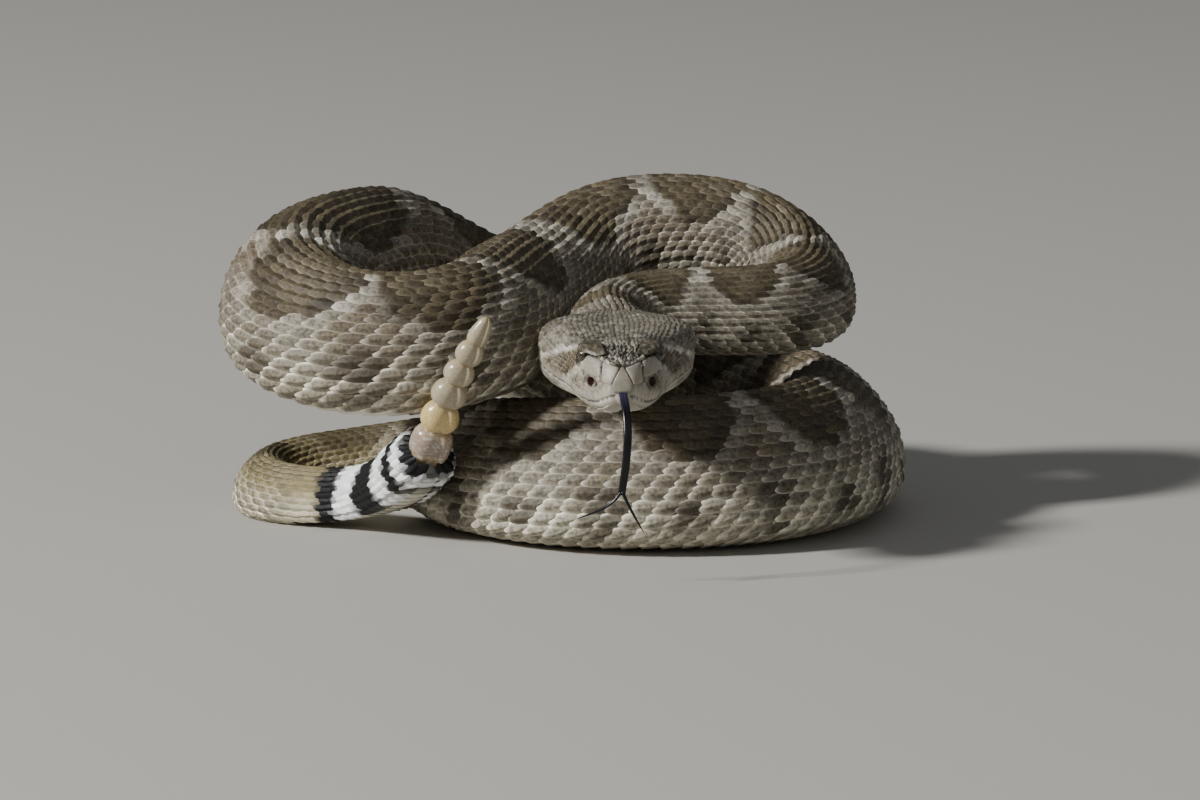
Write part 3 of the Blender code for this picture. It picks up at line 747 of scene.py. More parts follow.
class Leaf:
    """The pattern of one scale: a grid from root to tip, closed below by a fan."""

    def __init__(self, rows, columns, outline, crown, keel, pillow=False):
        self.lengths = np.repeat(np.array(rows), len(columns))
        spread = np.tile(np.array(columns), len(rows))
        widths = outline(self.lengths)
        self.across = spread * widths
        self.edge = np.maximum(np.abs(spread) * (0.9 + 0.1 * smooth(self.lengths, 0.4, 0.7)),
                               smooth(self.lengths, 0.62, 0.98))
        dome = 1.0 - np.abs(spread) ** 2.2
        dome = dome * np.clip((1.0 - self.lengths) * 3.2, 0.0, 1.0) ** 0.8
        if pillow:
            ends = np.abs(2.0 * self.lengths - 1.0)
            dome = (1.0 - np.abs(spread) ** 5.0) * (1.0 - ends ** 5.0)
            self.edge = np.maximum(np.abs(spread), ends)
        ridge = np.exp(-(spread / 0.17) ** 2) * smooth(self.lengths, 0.1, 0.35)
        ridge = ridge * (1.0 - smooth(self.lengths, 0.82, 0.97))
        self.height = crown * dome + keel * ridge
        self.ridge = ridge
        count_rows, count_columns = len(rows), len(columns)
        index = np.arange(count_rows * count_columns).reshape(count_rows, count_columns)
        self.quads = np.stack([index[:-1, :-1], index[1:, :-1], index[1:, 1:], index[:-1, 1:]],
                              axis=-1).reshape(-1, 4)
        rim = [*index[0, ::-1], *index[1:, 0], *index[-1, 1:], *index[-2:0:-1, -1]]
        centre = index.size
        self.fan = np.array([(centre, there, here)
                             for here, there in zip(rim, [*rim[1:], rim[0]])])
        self.lengths = np.r_[self.lengths, 0.5]
        self.across = np.r_[self.across, 0.0]
        self.edge = np.r_[self.edge, 0.5]
        self.height = np.r_[self.height, -0.12]
        self.ridge = np.r_[self.ridge, 0.0]
        self.size = len(self.lengths)

    def faces(self, count):
        """The faces of many leaves in a row."""
        shift = (np.arange(count) * self.size)[:, None, None]
        return (self.quads[None] + shift).reshape(-1, 4), (self.fan[None] + shift).reshape(-1, 3)


def lance_outline(length):
    """Half the width of a keeled scale from its root to its blunt tip."""
    root = 0.42 + 0.58 * np.sin(np.clip(length / 0.55, 0.0, 1.0) * math.pi / 2.0)
    tip = np.clip(1.0 - (np.clip(length - 0.55, 0.0, 1.0) / 0.46) ** 1.9, 0.0, 1.0) ** 0.62
    return np.where(length < 0.55, root, np.maximum(tip, 0.1))


def plate_outline(length):
    """Half the width of a rounded plate."""
    return np.clip(1.0 - np.abs(2.0 * length - 1.0) ** 3.2, 0.0, 1.0) ** 0.4 * 0.92 + 0.08


@functools.lru_cache
def keeled_leaf():
    """The pattern of the scales on the back and flanks."""
    return Leaf([0.0, 0.24, 0.48, 0.7, 0.86, 0.95, 1.0],
                [-1.0, -0.86, -0.7, -0.4, -0.13, 0.0, 0.13, 0.4, 0.7, 0.86, 1.0],
                lance_outline, 0.72, sizes().keel_height)


def scale_pitch(distance):
    """Distance along the body from one scale to the next in its row."""
    return 0.035 * girth_at(distance) + 2.75


def scale_stations(start, end):
    """Distances from the nape at which rings of scales have their middles."""
    fine = np.arange(-12.0, body_form().length + 12.0, 0.5)
    count = np.r_[0.0, np.cumsum(0.5 / scale_pitch(np.clip(fine[1:], 0.0, None)))]
    stations = np.interp(np.arange(int(count[-1])), count, fine)
    return stations[(stations >= start) & (stations < end)]


def row_count(distance):
    """How many rows of scales would go round the back and flanks."""
    full = sizes().scale_rows
    return read([(0, full), (650, full), (700, full - 4), (745, full - 7), (812, full - 9)],
                distance)


LEAF_MIDDLE = 0.42      # where a scale is fixed, from its root to its tip
ROOT_SUNK = 0.12        # how deep a scale's root lies in the skin
NAPE_REACH = 10.0       # how far from the nape the head still shapes the skin
CLOSING_LENGTH = 6.0    # over how much of its end the tail closes round the rattle
CLOSING = [(0.0, 1.0), (1.5, 0.92), (4.0, 0.66), (CLOSING_LENGTH, 0.6)]


def lay_scales(leaf, distance, turn, length, width, lift, height, skew):
    """Points of many leaves laid over the body, with their distances and turns.

    Length is along the body and width is half the leaf's, as a share of a turn.
    """
    along = leaf.lengths[None, :] - LEAF_MIDDLE
    spots = distance[:, None] + along * length[:, None]
    turns = turn[:, None] + leaf.across[None, :] * width[:, None] + skew[:, None] * along
    form = body_form()
    flat_spots, flat_turns = spots.ravel(), turns.ravel()
    base, normal, _, _ = form.sample(flat_spots, flat_turns)
    for number in np.nonzero(flat_spots < NAPE_REACH)[0]:
        base[number] = nape_tree().find_nearest(Vector(base[number]))[0]
    rise = lift[:, None] * leaf.lengths[None, :] ** 1.2 - ROOT_SUNK
    tall = rise + leaf.height[None, :] * height[:, None]
    points = base + normal * tall.reshape(-1, 1)
    past = np.clip(flat_spots - (form.length - 1.5), 0.0, CLOSING_LENGTH)
    end, onward = body_frame(np.array([form.length]))[:2]
    step = points - end
    axial = (step @ onward[0])[:, None] * onward
    closing = read(CLOSING, past)[:, None]
    points = end + axial + (step - axial) * closing - onward * (0.4 * past)[:, None]
    points[:, 2] = np.maximum(points[:, 2], 0.02)
    return points, flat_spots, flat_turns


MOST_ROWS = 16          # rows on each side of the back's middle row
ROWS_EASE = 6           # power by which the lowest rows lie wider apart
USUAL_SPACING = 3.2     # width between rows at which a scale has its full thickness


def scale_coat(name, start, end, seed):
    """Keeled scales over one length of the body, as a single mesh."""
    chance = np.random.default_rng(seed)
    rows, places = [], []
    for station in scale_stations(start, end):
        shift = scale_pitch(station) / 2.0
        for row in range(-MOST_ROWS, MOST_ROWS + 1):
            places.append(station + shift * (row % 2))
            rows.append(row)
    rows, places = np.array(rows, float), np.array(places)
    share = rows / (row_count(places) / 2.0)
    turn = belly_edge(places) * share * (0.9 + 0.1 * share ** ROWS_EASE)
    kept = (np.abs(share) < 0.995) & (places < body_form().length + 1.0)
    rows, places, turn, share = rows[kept], places[kept], turn[kept], share[kept]
    _, _, stretch, reach = body_form().sample(places, turn)
    widening = 0.9 + 0.1 * (ROWS_EASE + 1) * share ** ROWS_EASE
    spacing = belly_edge(places) / (row_count(places) / 2.0) * widening
    pitch = scale_pitch(places)
    length = sizes().scale_overlap * pitch * np.clip(stretch, 0.3, 2.0) ** -0.4
    count = len(places)
    low = smooth(np.abs(share), 0.8, 0.98)
    width = spacing * (0.63 + 0.07 * low) * (1.0 + 0.03 * chance.standard_normal(count))
    length = length * (1.0 + 0.03 * chance.standard_normal(count))
    size = np.clip(spacing * reach / USUAL_SPACING, 0.35, 1.15)
    lift = sizes().scale_lift * size * (0.75 + 0.25 * length / (1.8 * pitch))
    lean = 0.3 * smooth(np.abs(share), 0.12, 0.6) + 0.5 * smooth(np.abs(share), 0.75, 1.0)
    skew = spacing * (np.sign(share) * lean + 0.12 * chance.standard_normal(count))
    leaf = keeled_leaf()
    points, spots, turns = lay_scales(leaf, places, turn, length, width, lift, size, skew)
    return leaf_mesh(name, leaf, points, spots, turns, places, turn, chance, (start, end))


DARKER_SHARE = 0.24     # how many of the scales are dusted darker
TONE_SPREAD = 0.1       # how much the scales differ in tone
VENT_FADE = 14.0        # length over which the body's rims and dusting end on the tail


def leaf_mesh(name, leaf, points, spots, turns, places, turn, chance, span):
    """Colour many leaves by the markings under their roots and make them one mesh.

    Each has a darker core, a keel made lighter as a painted highlight, and, low on the flanks, a pale
    rim.
    """
    count = len(places)
    centre = body_form().sample(places + 0.8, turn)[0]
    own = hide_pigment(centre, places + 0.8, turn)
    darker = (chance.random(count) < DARKER_SHARE) * (0.1 + 0.35 * chance.random(count))
    darker = darker * (1.0 - 0.5 * smooth(np.abs(turn), 0.55, 0.7))
    own = blend(own, colour("spot"), darker * (1.0 - smooth(places, VENT, VENT + VENT_FADE)))
    here = hide_pigment(points, spots, turns)
    shade = np.repeat(own, leaf.size, axis=0) * 0.7 + here * 0.3
    edge = np.tile(leaf.edge, count)
    ridge = np.tile(leaf.ridge, count)
    tone = np.repeat(1.0 + TONE_SPREAD * chance.standard_normal(count), leaf.size)
    away = np.abs(np.repeat(turn, leaf.size))
    before_bands = 1.0 - smooth(np.repeat(places, leaf.size), VENT, VENT + VENT_FADE)
    low = smooth(away, 0.26, 0.5)
    core = (1.0 - smooth(edge, 0.5, 0.82)) * before_bands
    dark = np.repeat(1.0 - smooth(own.mean(axis=1), 0.07, 0.17), leaf.size)
    deep = (0.2 + 0.32 * smooth(away, 0.34, 0.54)) * (1.0 - 0.5 * dark)
    shade = blend(shade, colour("diamond"), deep * core) * (1.0 - 0.1 * core)[:, None]
    pale = smooth(edge, 0.72, 0.86) * (0.35 + 0.6 * low) * (1.0 - 0.8 * dark)
    rim = blend(colour("border"), colour("belly"), smooth(away, 0.42, 0.66))
    shade = blend(shade, rim, pale * before_bands)
    # Painted highlight: the pigment along each keel is made up to 8 per cent lighter.
    shade = shade * (1.0 + 0.08 * ridge)[:, None]
    shade = np.clip(shade * tone[:, None], 0.0, 1.0)
    shade = np.concatenate([shade, core[:, None]], axis=1)
    low, high = span
    root = np.stack([(places - low) / (high - low) * 0.96 + 0.02, (turn + 1.0) / 2.0], axis=1)
    local = np.stack([leaf.lengths - 0.5, leaf.across * 0.5], axis=1) * BAKE_PATCH
    chart = (root[:, None, :] + local[None]).reshape(-1, 2)
    quads, fans = leaf.faces(count)
    return build_mesh(name, points, quads, fans, shade, chart, sharp=70.0)


# ---- the skin -----------------------------------------------------------------------------------

@functools.lru_cache
def skin_rings():
    """Rings of points from the snout to the root of the rattle, and how they were made up."""
    form = body_form()
    rings = list(head_form().rings)
    count_head = len(rings)
    angles = math.tau * (np.arange(RING_POINTS) + 0.5) / RING_POINTS
    turns = form.turn_at(angles)
    stations = np.arange(1.6, form.length - 0.5, 2.0)
    for station in stations:
        rings.append(form.sample(np.full(RING_POINTS, station), turns)[0])
    last = rings[-1]
    onward = unit(last.mean(axis=0) - rings[-2].mean(axis=0))
    for size, step in ((0.92, 0.8), (0.75, 1.5), (0.5, 2.0), (0.25, 2.2), (0.04, 2.3)):
        rings.append(last.mean(axis=0) + (last - last.mean(axis=0)) * size + onward * step)
    rings = np.array(rings)
    join = slice(count_head - 5, count_head + 4)
    for _ in range(8):
        rings[join] = (rings[count_head - 6:count_head + 3] + 2.0 * rings[join]
                       + rings[count_head - 4:count_head + 5]) / 4.0
    return rings, count_head, stations, turns


@functools.lru_cache
def nape_tree():
    """The skin round the nape, for laying scales where head and neck run together."""
    rings, count_head, _, _ = skin_rings()
    rings = rings[count_head - 14:count_head + 12]
    faces, _ = tube_faces(len(rings), RING_POINTS)
    return BVHTree.FromPolygons(rings.reshape(-1, 3).tolist(), faces.tolist())


def make_skin():
    """One closed skin from the snout to the root of the rattle, darkened as painted shade where it
    shows between the scales.
    """
    rings, count_head, stations, turns = skin_rings()
    total = len(rings)
    quads, caps = tube_faces(total, RING_POINTS)
    points = with_ends(rings)
    head_places = to_head(points)[:, 1]
    station_of = np.r_[np.full(count_head, -10.0), stations, [stations[-1]] * 5]
    distance = np.r_[np.repeat(station_of, RING_POINTS), -10.0, stations[-1]]
    distance[:count_head * RING_POINTS] = head_places[:count_head * RING_POINTS] - HEAD_LENGTH
    turn = np.r_[np.tile(turns, total), 0.0, 0.0]
    tint = hide_pigment(points, distance, turn)
    local = to_head(points)
    above_lip = local[:, 2] - read(MOUTH, local[:, 1])
    # Painted shade: the skin is darkened where it shows between scales and plates. It goes to 0.3 on
    # the body and about half on the head, less just above the lips, more between the snout's plates
    # and the brows' grains, and most along the mouth's line.
    front_gap_shade = smooth(-distance, 30.0, 36.0) * smooth(local[:, 2], 3.2, 4.6)
    line = bump(above_lip, 0.3) * (1.0 - smooth(local[:, 1], 34.0, 37.0))
    share = 0.5 + 0.35 * (1.0 - smooth(above_lip, 3.0, 5.0)) - 0.27 * front_gap_shade
    tint = tint * np.where(distance > 0.0, 0.3, share * (1.0 - 0.8 * line))[:, None]
    ends = np.r_[np.repeat(np.linspace(0.01, 0.99, total), RING_POINTS), 0.005, 0.995]
    chart = np.stack([ends, (turn + 1.0) / 2.0], axis=1)
    return build_mesh("skin", points, quads, caps, tint, chart)


# ---- belly plates -------------------------------------------------------------------------------

def make_belly_plates():
    """Wide smooth plates under the body, each lapping over the next towards the tail."""
    form = body_form()
    stations = scale_stations(-1.0, form.length - 2.0)
    columns = np.linspace(-1.0, 1.0, 23)
    leaf = Leaf([0.0, 0.3, 0.62, 0.86, 1.0], columns,
                lambda length: 0.9 + 0.1 * np.sin(length * math.pi), 0.12, 0.0)
    count = len(stations)
    chance = np.random.default_rng(5)
    girth = girth_at(stations)
    length = 1.45 * scale_pitch(stations)
    width = 1.0 - belly_edge(stations) + 0.03
    lift = 0.75 * np.clip(girth / 40.0, 0.45, 1.0)
    turn = np.ones(count)
    points, spots, turns = lay_scales(leaf, stations, turn, length, width, lift,
                                      np.ones(count), np.zeros(count))
    tint = body_pigment(spots, (turns + 1.0) % 2.0 - 1.0, points)
    tip = np.tile(smooth(leaf.lengths, 0.8, 1.0), count)
    tint = blend(tint, colour("border"), tip * 0.25)
    tint = tint * np.repeat(1.0 + 0.04 * chance.standard_normal(count), leaf.size)[:, None]
    root = np.stack([stations / form.length * 0.96 + 0.02, np.full(count, 0.5)], axis=1)
    local = np.stack([(leaf.lengths - 0.5) * BAKE_PATCH, leaf.across * 0.3], axis=1)
    chart = (root[:, None, :] + local[None]).reshape(-1, 2)
    quads, fans = leaf.faces(count)
    return build_mesh("belly_plates", points, quads, fans, np.clip(tint, 0.0, 1.0), chart, 60.0)


# ---- the head's scales and plates ---------------------------------------------------------------

LIP_PLATES = 19
UPPER_LIP_HEIGHT = 2.9
LOWER_LIP_HEIGHT = 2.0
CROWN_FRECKLES = 0.6    # leaves with more freckles are rough crown
BROW_FRECKLES = 0.9     # and with more still are brow plates, with dark granules


class HeadCoat:
    """Collects leaves laid on the head, with their pigments, and makes them one mesh."""

    def __init__(self, name, seed):
        self.name = name
        self.points, self.quads, self.fans, self.tint, self.chart = [], [], [], [], []
        self.count = 0
        self.chance = np.random.default_rng(seed)

    def add(self, leaf, centre, along, half_length, half_width, lift, height, seam_shade=0.0,
            pale=0.0, freckled=0.0):
        """Lay one leaf with its middle at a point of the head's frame, its root to tip along."""
        form = head_form()
        middle, normal = form.lay(to_model(np.array(centre, float)))
        ahead = HEAD_TURN @ np.array(along, float)
        ahead = unit(ahead - normal * (ahead @ normal))
        across = np.cross(normal, ahead)
        laid = np.empty((leaf.size, 3))
        for number in range(leaf.size):
            spot = (middle + ahead * ((leaf.lengths[number] - 0.5) * 2.0 * half_length)
                    + across * (leaf.across[number] * half_width))
            base, out = form.lay(spot)
            rise = lift * leaf.lengths[number] ** 1.2 - 0.08 + leaf.height[number] * height
            laid[number] = base + out * rise
        self.keep(leaf, laid, middle, seam_shade, pale, freckled)

    def keep(self, leaf, laid, middle, seam_shade, pale, freckled):
        """Add the laid points of one leaf with their pigments and their patch of the chart."""
        local, place = to_head(laid), to_head(middle)
        own = head_pigment(place[None, :])[0]
        if freckled > CROWN_FRECKLES:
            # Rough crown grains are made darker or paler at random, partly their own speckling; the
            # paler ones are also painted highlights on the grains' tips.
            own = blend(own, colour("crown_speckle"), self.chance.random() ** 1.6 * 0.9)
            own = blend(own, colour("face_stripe"), self.chance.random() ** 2.5 * 0.8)
        tint = own * 0.6 + head_pigment(local) * 0.4
        if freckled > BROW_FRECKLES:
            tint = np.broadcast_to(blend(colour("crown"), colour("face_band"), 0.45), tint.shape)
        tint = blend(tint, colour("lip"), smooth(leaf.edge, 0.6, 0.9) * pale)
        # Painted shade: each leaf darkens at its very edge, standing for the shade in the grooves
        # between plates.
        tint = tint * (1.0 - seam_shade * smooth(leaf.edge, 0.93, 1.0))[:, None]
        tint = tint * (1.0 + 0.16 * self.chance.standard_normal() * (pale > 0.0)
                       + 0.03 * self.chance.standard_normal())
        if freckled > BROW_FRECKLES:
            grain = clouds(local, 0.75, 31)
            tint = blend(tint, colour("crown_speckle"), smooth(grain, 0.45, 0.6) * 0.5)
            tint = blend(tint, colour("cheek"), (1.0 - smooth(grain, 0.2, 0.34)) * 0.2)
        tint = np.concatenate([tint, np.full((leaf.size, 1), freckled)], axis=1)
        shift = sum(len(part) for part in self.points)
        self.points.append(laid)
        self.quads.append(leaf.quads + shift)
        self.fans.append(leaf.fan + shift)
        self.tint.append(np.clip(tint, 0.0, 1.0))
        root = np.array([0.03 + place[1] / 54.0, math.atan2(place[0], place[2]) / math.tau + 0.5])
        self.chart.append(root + np.stack([leaf.lengths - 0.5, leaf.across * 0.5], axis=1)
                          * BAKE_PATCH)

    def panel(self, rows, mirror, height, seam_shade, freckled):
        """Lay a flat-topped plate given by rows of an inner and an outer place.

        Places of two numbers are seen from the front; places of three lie free in the head's frame.
        """
        free = len(rows[0][0]) == 3
        leaf, steps = head_leaves()[3 if free else 1], BROW_STEPS if free else PANEL_STEPS
        rows = np.array(rows, float)
        shares = np.linspace(0.0, 1.0, len(rows))
        laid = np.empty((leaf.size, 3))
        across = len(steps)
        for number in range(leaf.size):
            tall = 2.0 * steps[min(number // across, across - 1)] - 1.0
            wide = 2.0 * steps[number % across] - 1.0
            if number == leaf.size - 1:
                tall, wide = 0.0, 0.0
            part = 0.5 + 0.5 * tall * (1.0 - 0.07 * abs(wide) ** 6)
            over = 0.5 + 0.5 * wide * (1.0 - 0.07 * abs(tall) ** 6)
            spot = np.array([np.interp(part, shares, rows[:, 0, axis]) * (1.0 - over)
                             + np.interp(part, shares, rows[:, 1, axis]) * over
                             for axis in range(rows.shape[2])])
            if free:
                top = head_form().shoot((spot[0] * mirror[0], spot[1], 30.0), (0.0, 0.0, -1.0))
                cap = top[2] + 0.4 + 2.5 * (1.0 - smooth(part, 0.45, 0.85))
                spot[2] = max(min(spot[2], cap), spot[2] - 0.9)
            power = 4.0 if free else 14.0
            raised = height * (1.0 - abs(tall) ** power) * (1.0 - abs(wide) ** power)
            if number == leaf.size - 1:
                raised = -2.2 if free else -0.2
            if free:
                rough = clouds(spot[None, :], 0.8, 31)[0] - 0.5
                spot = spot + np.array([0.25, 0.0, 0.95]) * (raised - 0.45 * rough * (raised > -1.0))
                laid[number] = to_model(spot * mirror)
                continue
            hit = head_form().face(spot[0] * mirror[0], spot[1])
            base, out = head_form().lay(to_model(hit))
            laid[number] = base + out * (raised - 0.06)
        self.keep(leaf, laid, laid[across * across // 2], seam_shade, 0.0, freckled)

    def finish(self, sharp=70.0):
        """Make the mesh."""
        return build_mesh(self.name, np.concatenate(self.points), np.concatenate(self.quads),
                          np.concatenate(self.fans), np.concatenate(self.tint),
                          np.concatenate(self.chart), sharp)


def side_section(station):
    """Points round the whole head at one station, in the head's frame, from low left over the top."""
    angles = np.linspace(1.5 * math.pi, -0.5 * math.pi, 361)
    ring = head_outline(np.full(361, station), angles)
    return sculpt_head(ring)


def section_table(above, margin):
    """Stations and rows of places over the crown, or under the chin, between the lips' plates."""
    stations = np.arange(0.6, HEAD_LENGTH - 0.2, 0.4)
    shares = np.linspace(0.0, 1.0, 161)
    table = []
    for station in stations:
        ring = side_section(station)
        if not above:
            ring = np.roll(ring[:-1], 180, axis=0)
        lip = read(MOUTH, station) + (margin if above else -margin)
        kept = ring[:, 2] > lip if above else ring[:, 2] < lip
        part = ring[kept]
        lengths = lengths_along(part)
        table.append([np.interp(shares * lengths[-1], lengths, part[:, axis])
                      for axis in range(3)])
    return stations, shares, np.array(table).transpose(0, 2, 1)


def table_point(table, station, share):
    """A place from such a table."""
    stations, shares, places = table
    row = np.clip((station - stations[0]) / (stations[1] - stations[0]), 0, len(stations) - 1.001)
    column = np.clip(share * (len(shares) - 1), 0, len(shares) - 1.001)
    return between(places, row, column)


def scale_room(table, station, share, rows):
    """How wide the room of one scale in its row is, and which way it points."""
    beside = table_point(table, station, min(share + 0.5 / rows, 1.0))
    before = table_point(table, station, max(share - 0.5 / rows, 0.0))
    along = table_point(table, station + 0.8, share) - table_point(table, station - 0.8, share)
    return np.linalg.norm(beside - before), along


# Plates of the head, for one side; the other is mirrored.
# Middle, direction from root to tip, half the length, half the width, freckles.
PLATES = {
    "preocular": ((10.3, 10.6, 4.2), (0.3, 0.95, 0.0), 1.3, 1.2, 0.1),
    "chin_shield": ((1.7, 6.5, -8.0), (0.12, 1.0, 0.0), 3.4, 1.5, 0.0),
}
# Rows of an inner and an outer place, from the lip upwards, sideways and up as seen from the front.
SNOUT_SHIELD = [((-2.6, -0.4), (2.6, -0.4)), ((-2.85, 1.6), (2.85, 1.6)),
                ((-2.1, 3.2), (2.1, 3.2)), ((-1.2, 4.8), (1.2, 4.8)), ((-0.25, 6.0), (0.25, 6.0))]
FRONT_NASAL = [((2.8, 1.7), (5.2, 1.8)), ((2.1, 3.35), (5.2, 3.4)), ((1.25, 4.8), (5.1, 5.2)),
               ((0.5, 5.9), (4.85, 6.7))]
REAR_NASAL = [((5.5, 2.9), (9.2, 2.4)), ((5.25, 4.2), (9.9, 3.6)), ((5.15, 5.4), (9.7, 5.1)),
              ((4.95, 6.6), (8.4, 7.0))]
# The plate over the eye, from front to back, in the head's frame.
BROW_PLATE = [((3.7, 7.6, 8.0), (6.6, 8.2, 7.3)), ((4.5, 10.5, 8.9), (9.6, 10.9, 7.9)),
              ((5.2, 13.8, 9.5), (11.1, 14.2, 8.7)), ((6.0, 17.0, 9.9), (10.2, 17.6, 9.5))]
EYE_RING = 3.35         # radii on which the plates round the eye and the pit lie
PIT_RING = 1.98
PANEL_STEPS = [0.0, 0.05, 0.12, 0.3, 0.5, 0.7, 0.88, 0.95, 1.0]
BROW_STEPS = [step / 22.0 for step in range(23)]


def within(rows, level, side, margin):
    """Whether a place lies inside rows of an inner and an outer place, by level and side."""
    rows = np.array(rows, float)
    levels = rows[:, :, 1].mean(axis=1)
    if not levels[0] - margin < level < levels[-1] + margin:
        return False
    inner, outer = (np.interp(level, levels, rows[:, end, 0]) for end in (0, 1))
    return inner - margin < side < outer + margin


def shield_outline(length):
    """Half the width of the plate at the tip of the snout: wide at the lip, rounded above."""
    return np.where(length < 0.3, 0.86 + 0.14 * length / 0.3,
                    1.0 - 0.72 * (np.clip(length - 0.3, 0.0, 1.0) / 0.7) ** 1.35)


@functools.lru_cache
def head_leaves():
    """The patterns of the head's keeled scales, smooth plates and snout shield."""
    keeled = Leaf([0.0, 0.25, 0.5, 0.78, 1.0], [-1.0, -0.55, -0.2, 0.0, 0.2, 0.55, 1.0],
                  lance_outline, 0.2, 0.26)
    columns = [2.0 * step - 1.0 for step in PANEL_STEPS]
    brow = Leaf(BROW_STEPS, [2.0 * step - 1.0 for step in BROW_STEPS], plate_outline, 0.3, 0.0,
                pillow=True)
    plate = Leaf(PANEL_STEPS, columns, plate_outline, 0.3, 0.0, pillow=True)
    shield = Leaf(PANEL_STEPS, columns, shield_outline, 0.45, 0.0, pillow=True)
    return keeled, plate, shield, brow


def lip_path(side, offset):
    """Evenly spaced places along one lip, from beside the snout's tip to the mouth's corner."""
    form = head_form()
    found = []
    back = 0.5
    for degrees in np.arange(12.0, 91.0, 3.0):
        angle = math.radians(degrees)
        level = read(MOUTH, back) + offset
        start = (30.0 * math.sin(angle) * side, 12.0 - 30.0 * math.cos(angle), level)
        place = form.shoot(start, (-math.sin(angle) * side, math.cos(angle), 0.0))
        back = place[1]
        found.append(place)
    for station in np.arange(12.7, MOUTH_CORNER, 0.7):
        level = read(MOUTH, station) + offset
        found.append(form.shoot((40.0 * side, station, level), (-side, 0.0, 0.0)))
    return np.array(found)


def clear_of_features(point):
    """Whether a small scale may lie here, outside the eye, pit, nostril and snout plates."""
    away = abs(point[0])
    if away > 6.0 and math.hypot(point[1] - EYE[1], point[2] - EYE[2]) < 3.9:
        return False
    front = point[1] < 11.0
    if front and math.hypot(away - PIT[0], point[2] - PIT[1]) < 2.5:
        return False
    for middle, along, half_length, half_width, _ in PLATES.values():
        step = np.array([away, point[1], point[2]]) - np.array(middle)
        forward = unit(np.array(along))
        ahead = step @ forward
        beside = np.linalg.norm(step - forward * ahead)
        if (ahead / (half_length + 0.2)) ** 2 + (beside / (half_width + 0.2)) ** 2 < 0.9:
            return False
    for rows in (SNOUT_SHIELD, FRONT_NASAL, REAR_NASAL):
        if point[1] < 12.5 and within(rows, point[2], away, 0.15):
            return False
    return not (point[2] > 6.5 and within(BROW_PLATE, point[1], away, 0.2))


CHIN_ROWS = 17
CHIN_STEP = 2.3


def make_head_scales():
    """Small keeled scales over the crown, temples and cheeks, and smooth ones under the chin.

    Those between the brows are rough grains, which stand up and lie at random.
    """
    keeled, plate = head_leaves()[:2]
    coat = HeadCoat("scales_head", 21)
    rows = sizes().head_rows
    table = section_table(True, UPPER_LIP_HEIGHT - 0.2)
    station = 2.6
    while station < HEAD_LENGTH - 0.8:
        left = table_point(table, station, 0.45)
        right = table_point(table, station, 0.45 + 1.0 / rows)
        spacing = max(np.linalg.norm(right - left), 0.62)
        step = 1.25 * spacing + 0.25
        for row in range(rows):
            share = (row + 0.5) / rows
            place = station + (step / 2.0 if row % 2 else 0.0)
            point = table_point(table, place, share)
            if place > HEAD_LENGTH - 0.6 or not clear_of_features(point):
                continue
            own, along = scale_room(table, place, share, rows)
            own = max(own, 0.5)
            size = min(own / 1.7, 1.2)
            grainy = 1.0 - smooth(place, 12.0, 17.0)
            crown = grainy * smooth(point[2], 6.0, 7.5)
            point = point + coat.chance.normal(0.0, 0.3, 3) * crown
            along = unit(along) + coat.chance.normal(0.0, 0.35, 3) * crown
            point = point + coat.chance.normal(0.0, 0.12, 3)
            coat.add(keeled, point, along, 0.5 * (1.6 - 0.35 * crown) * step,
                     (0.74 - 0.12 * crown + 0.06 * coat.chance.standard_normal()) * own,
                     (0.34 + 0.5 * crown * coat.chance.random()) * size,
                     size * (0.8 + 0.9 * crown), pale=0.34 - 0.2 * crown,
                     freckled=0.5 + 0.4 * crown)
        station += step
    table = section_table(False, LOWER_LIP_HEIGHT - 0.2)
    for station in np.arange(3.0, HEAD_LENGTH - 1.0, CHIN_STEP):
        for row in range(CHIN_ROWS):
            share = (row + 0.5) / CHIN_ROWS
            place = station + (CHIN_STEP / 2.0 if row % 2 else 0.0)
            point = table_point(table, place, share)
            if abs(point[0]) < 3.2 and 2.5 < place < 10.0 and point[2] < -5.0:
                continue
            own, along = scale_room(table, place, share, CHIN_ROWS)
            coat.add(plate, point, along, 1.9, 0.56 * own, 0.25, 0.6, seam_shade=0.3)
    return coat.finish()


